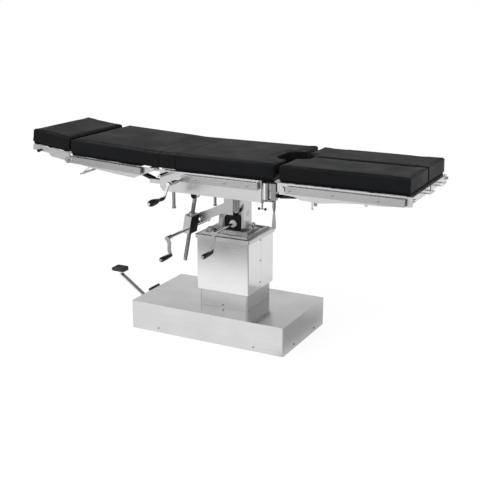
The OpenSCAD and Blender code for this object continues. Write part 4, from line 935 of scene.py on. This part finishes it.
def studio_surround():
    """White to the camera; polished metal mirrors it in bands by height."""
    world = bpy.data.worlds.new("studio_surround")
    bpy.context.scene.world = world
    world.use_nodes = True
    tree = world.node_tree
    glow = tree.nodes["Background"]
    rays = add_node(tree, "ShaderNodeLightPath")
    way, split = add_node(tree, "ShaderNodeTexCoord"), add_node(tree, "ShaderNodeSeparateXYZ")
    wire(tree, (way, "Generated", split, "Vector"))
    sky = ramp_between(tree, split.outputs["Z"], ((0.0, 1.0), (0.05, 0.95), (0.11, 0.35), (0.17, 0.35), (0.22, 0.95),
                                                  (0.34, 0.95), (0.42, 0.20), (0.64, 0.20), (0.84, 0.5)))
    seen = combine(tree, "MAXIMUM", rays.outputs["Is Camera Ray"], rays.outputs["Is Transmission Ray"])
    strength = spread_value(tree, seen, SURROUND_LIGHT, 1.0, 0, 1)
    mirrored = add_node(tree, "ShaderNodeMix")
    wire(tree, (rays, "Is Glossy Ray", mirrored, "Factor"), (mirrored, "Result", glow, "Strength"))
    tree.links.new(strength, mirrored.inputs["A"])
    tree.links.new(sky, mirrored.inputs["B"])
    glow.inputs["Color"].default_value = (1, 1, 1, 1)


def soft_lamp(name, place, aim, width, height, watts):
    """A large area lamp aimed at a point."""
    light = bpy.data.lights.new(name, "AREA")
    light.shape = "RECTANGLE"
    light.size, light.size_y = width, height
    light.energy = watts
    lamp = in_scene(name, light)
    lamp.location = place
    lamp.rotation_euler = (Vector(aim) - Vector(place)).to_track_quat("-Z", "Y").to_euler()


def white_floor():
    """White to the camera but for the soft shadow. Where metal mirrors it, the floor glows with painted reflections:
    banded along y in front, dark to the front right and at the back left, and grey close to the base as a painted
    shadow of the table."""
    finish, tree, skin = start_finish("studio_floor", (0.8, 0.8, 0.8), 0.0, 0.9)
    skin.inputs["Specular IOR Level"].default_value = 0.0
    rays = add_node(tree, "ShaderNodeLightPath")
    where, split = add_node(tree, "ShaderNodeTexCoord"), add_node(tree, "ShaderNodeSeparateXYZ")
    wire(tree, (where, "Object", split, "Vector"))
    forward = spread_value(tree, split.outputs["Y"], 1.0, 0.0, -5.0, 0.0)
    bands = ramp_between(tree, forward, ((0.0, 0.80), (0.05, 0.97), (0.17, 0.99), (0.23, 0.80), (0.29, 0.22),
                                         (0.40, 0.34), (0.46, 0.45), (0.51, 1.0)))
    away = add_node(tree, "ShaderNodeVectorMath", operation="LENGTH")
    tree.links.new(where.outputs["Object"], away.inputs[0])
    # Painted shadow and reflection: grey near the base for the table's shadow, darker further out, seen only by glossy
    # rays.
    near_or_far = ramp_between(tree, spread_value(tree, away.outputs["Value"], 0.0, 1.0, 0.0, 3.0),
                               ((0.0, 0.42), (0.30, 0.42), (0.45, 0.26), (1.0, 0.24)))
    to_right = combine(tree, "MULTIPLY", spread_value(tree, split.outputs["X"], 0.0, 1.0, 0.31, 0.45),
                       spread_value(tree, split.outputs["Y"], 1.0, 0.0, 0.25, 0.7))
    right = add_node(tree, "ShaderNodeMix", {"A": 1.0})
    tree.links.new(to_right, right.inputs["Factor"])
    tree.links.new(near_or_far, right.inputs["B"])
    far_left = spread_value(tree, split.outputs["X"], 0.40, 1.0, -3.5, -2.9)
    behind = combine(tree, "MULTIPLY", spread_value(tree, split.outputs["Y"], 0.0, 1.0, 0.25, 0.6),
                     spread_value(tree, split.outputs["X"], 1.0, 0.0, 0.15, 0.5))
    bands = combine(tree, "MULTIPLY", combine(tree, "MULTIPLY", bands, right.outputs["Result"]),
                    combine(tree, "MULTIPLY", far_left, spread_value(tree, behind, 1.0, 0.30, 0, 1)))
    seen = combine(tree, "MAXIMUM", rays.outputs["Is Camera Ray"], rays.outputs["Is Glossy Ray"])
    shade_colour(tree, skin, (0.8, 0.8, 0.8), spread_value(tree, seen, 1.0, 0.17, 0, 1))
    # Painted reflection: the floor glows these bands only for glossy rays, not as light it really gives.
    painted_reflection_glow = combine(tree, "MULTIPLY", rays.outputs["Is Glossy Ray"], bands)
    steady = spread_value(tree, rays.outputs["Is Camera Ray"], 0.0, 0.89, 0, 1)
    tree.links.new(combine(tree, "ADD", painted_reflection_glow, steady), skin.inputs["Emission Strength"])
    skin.inputs["Emission Color"].default_value = (1, 1, 1, 1)
    return finish


studio_surround()
soft_lamp("key_lamp", (-1.9, -2.6, 3.2), (0, 0, 0.5), 3.4, 3.0, 80)
soft_lamp("fill_lamp", (3.4, -1.6, 2.2), (0, 0, 0.5), 2.0, 2.0, 22)
floor_mesh = bpy.data.meshes.new("studio_floor")
FLOOR_HALF = 60
floor_mesh.from_pydata([(*corner, 0) for corner in rectangle(-FLOOR_HALF, FLOOR_HALF, -FLOOR_HALF, FLOOR_HALF)],
                       [], [(0, 1, 2, 3)])
floor_mesh.materials.append(white_floor())
floor_sheet = in_scene("studio_floor", floor_mesh)

# The camera looks at the middle of the table from the side of its cranks, turned 27 degrees towards the
# foot end and 16 degrees above, through a narrow lens.
CAMERA_AIM = Vector((0.025, 0.0, 0.462))
CAMERA_TURN, CAMERA_TILT, CAMERA_AWAY = math.radians(27.46), math.radians(16.05), 4.526
view_point = bpy.data.cameras.new("view_point")
view_point.sensor_width = 36
view_point.lens = 69.0
camera = in_scene("view_point", view_point)
camera.location = CAMERA_AIM + CAMERA_AWAY * Vector((math.cos(CAMERA_TILT) * math.sin(CAMERA_TURN),
                                                     -math.cos(CAMERA_TILT) * math.cos(CAMERA_TURN),
                                                     math.sin(CAMERA_TILT)))
camera.rotation_euler = (CAMERA_AIM - camera.location).to_track_quat("-Z", "Y").to_euler()
bpy.context.scene.camera = camera
bpy.context.scene.view_settings.view_transform = "Standard"
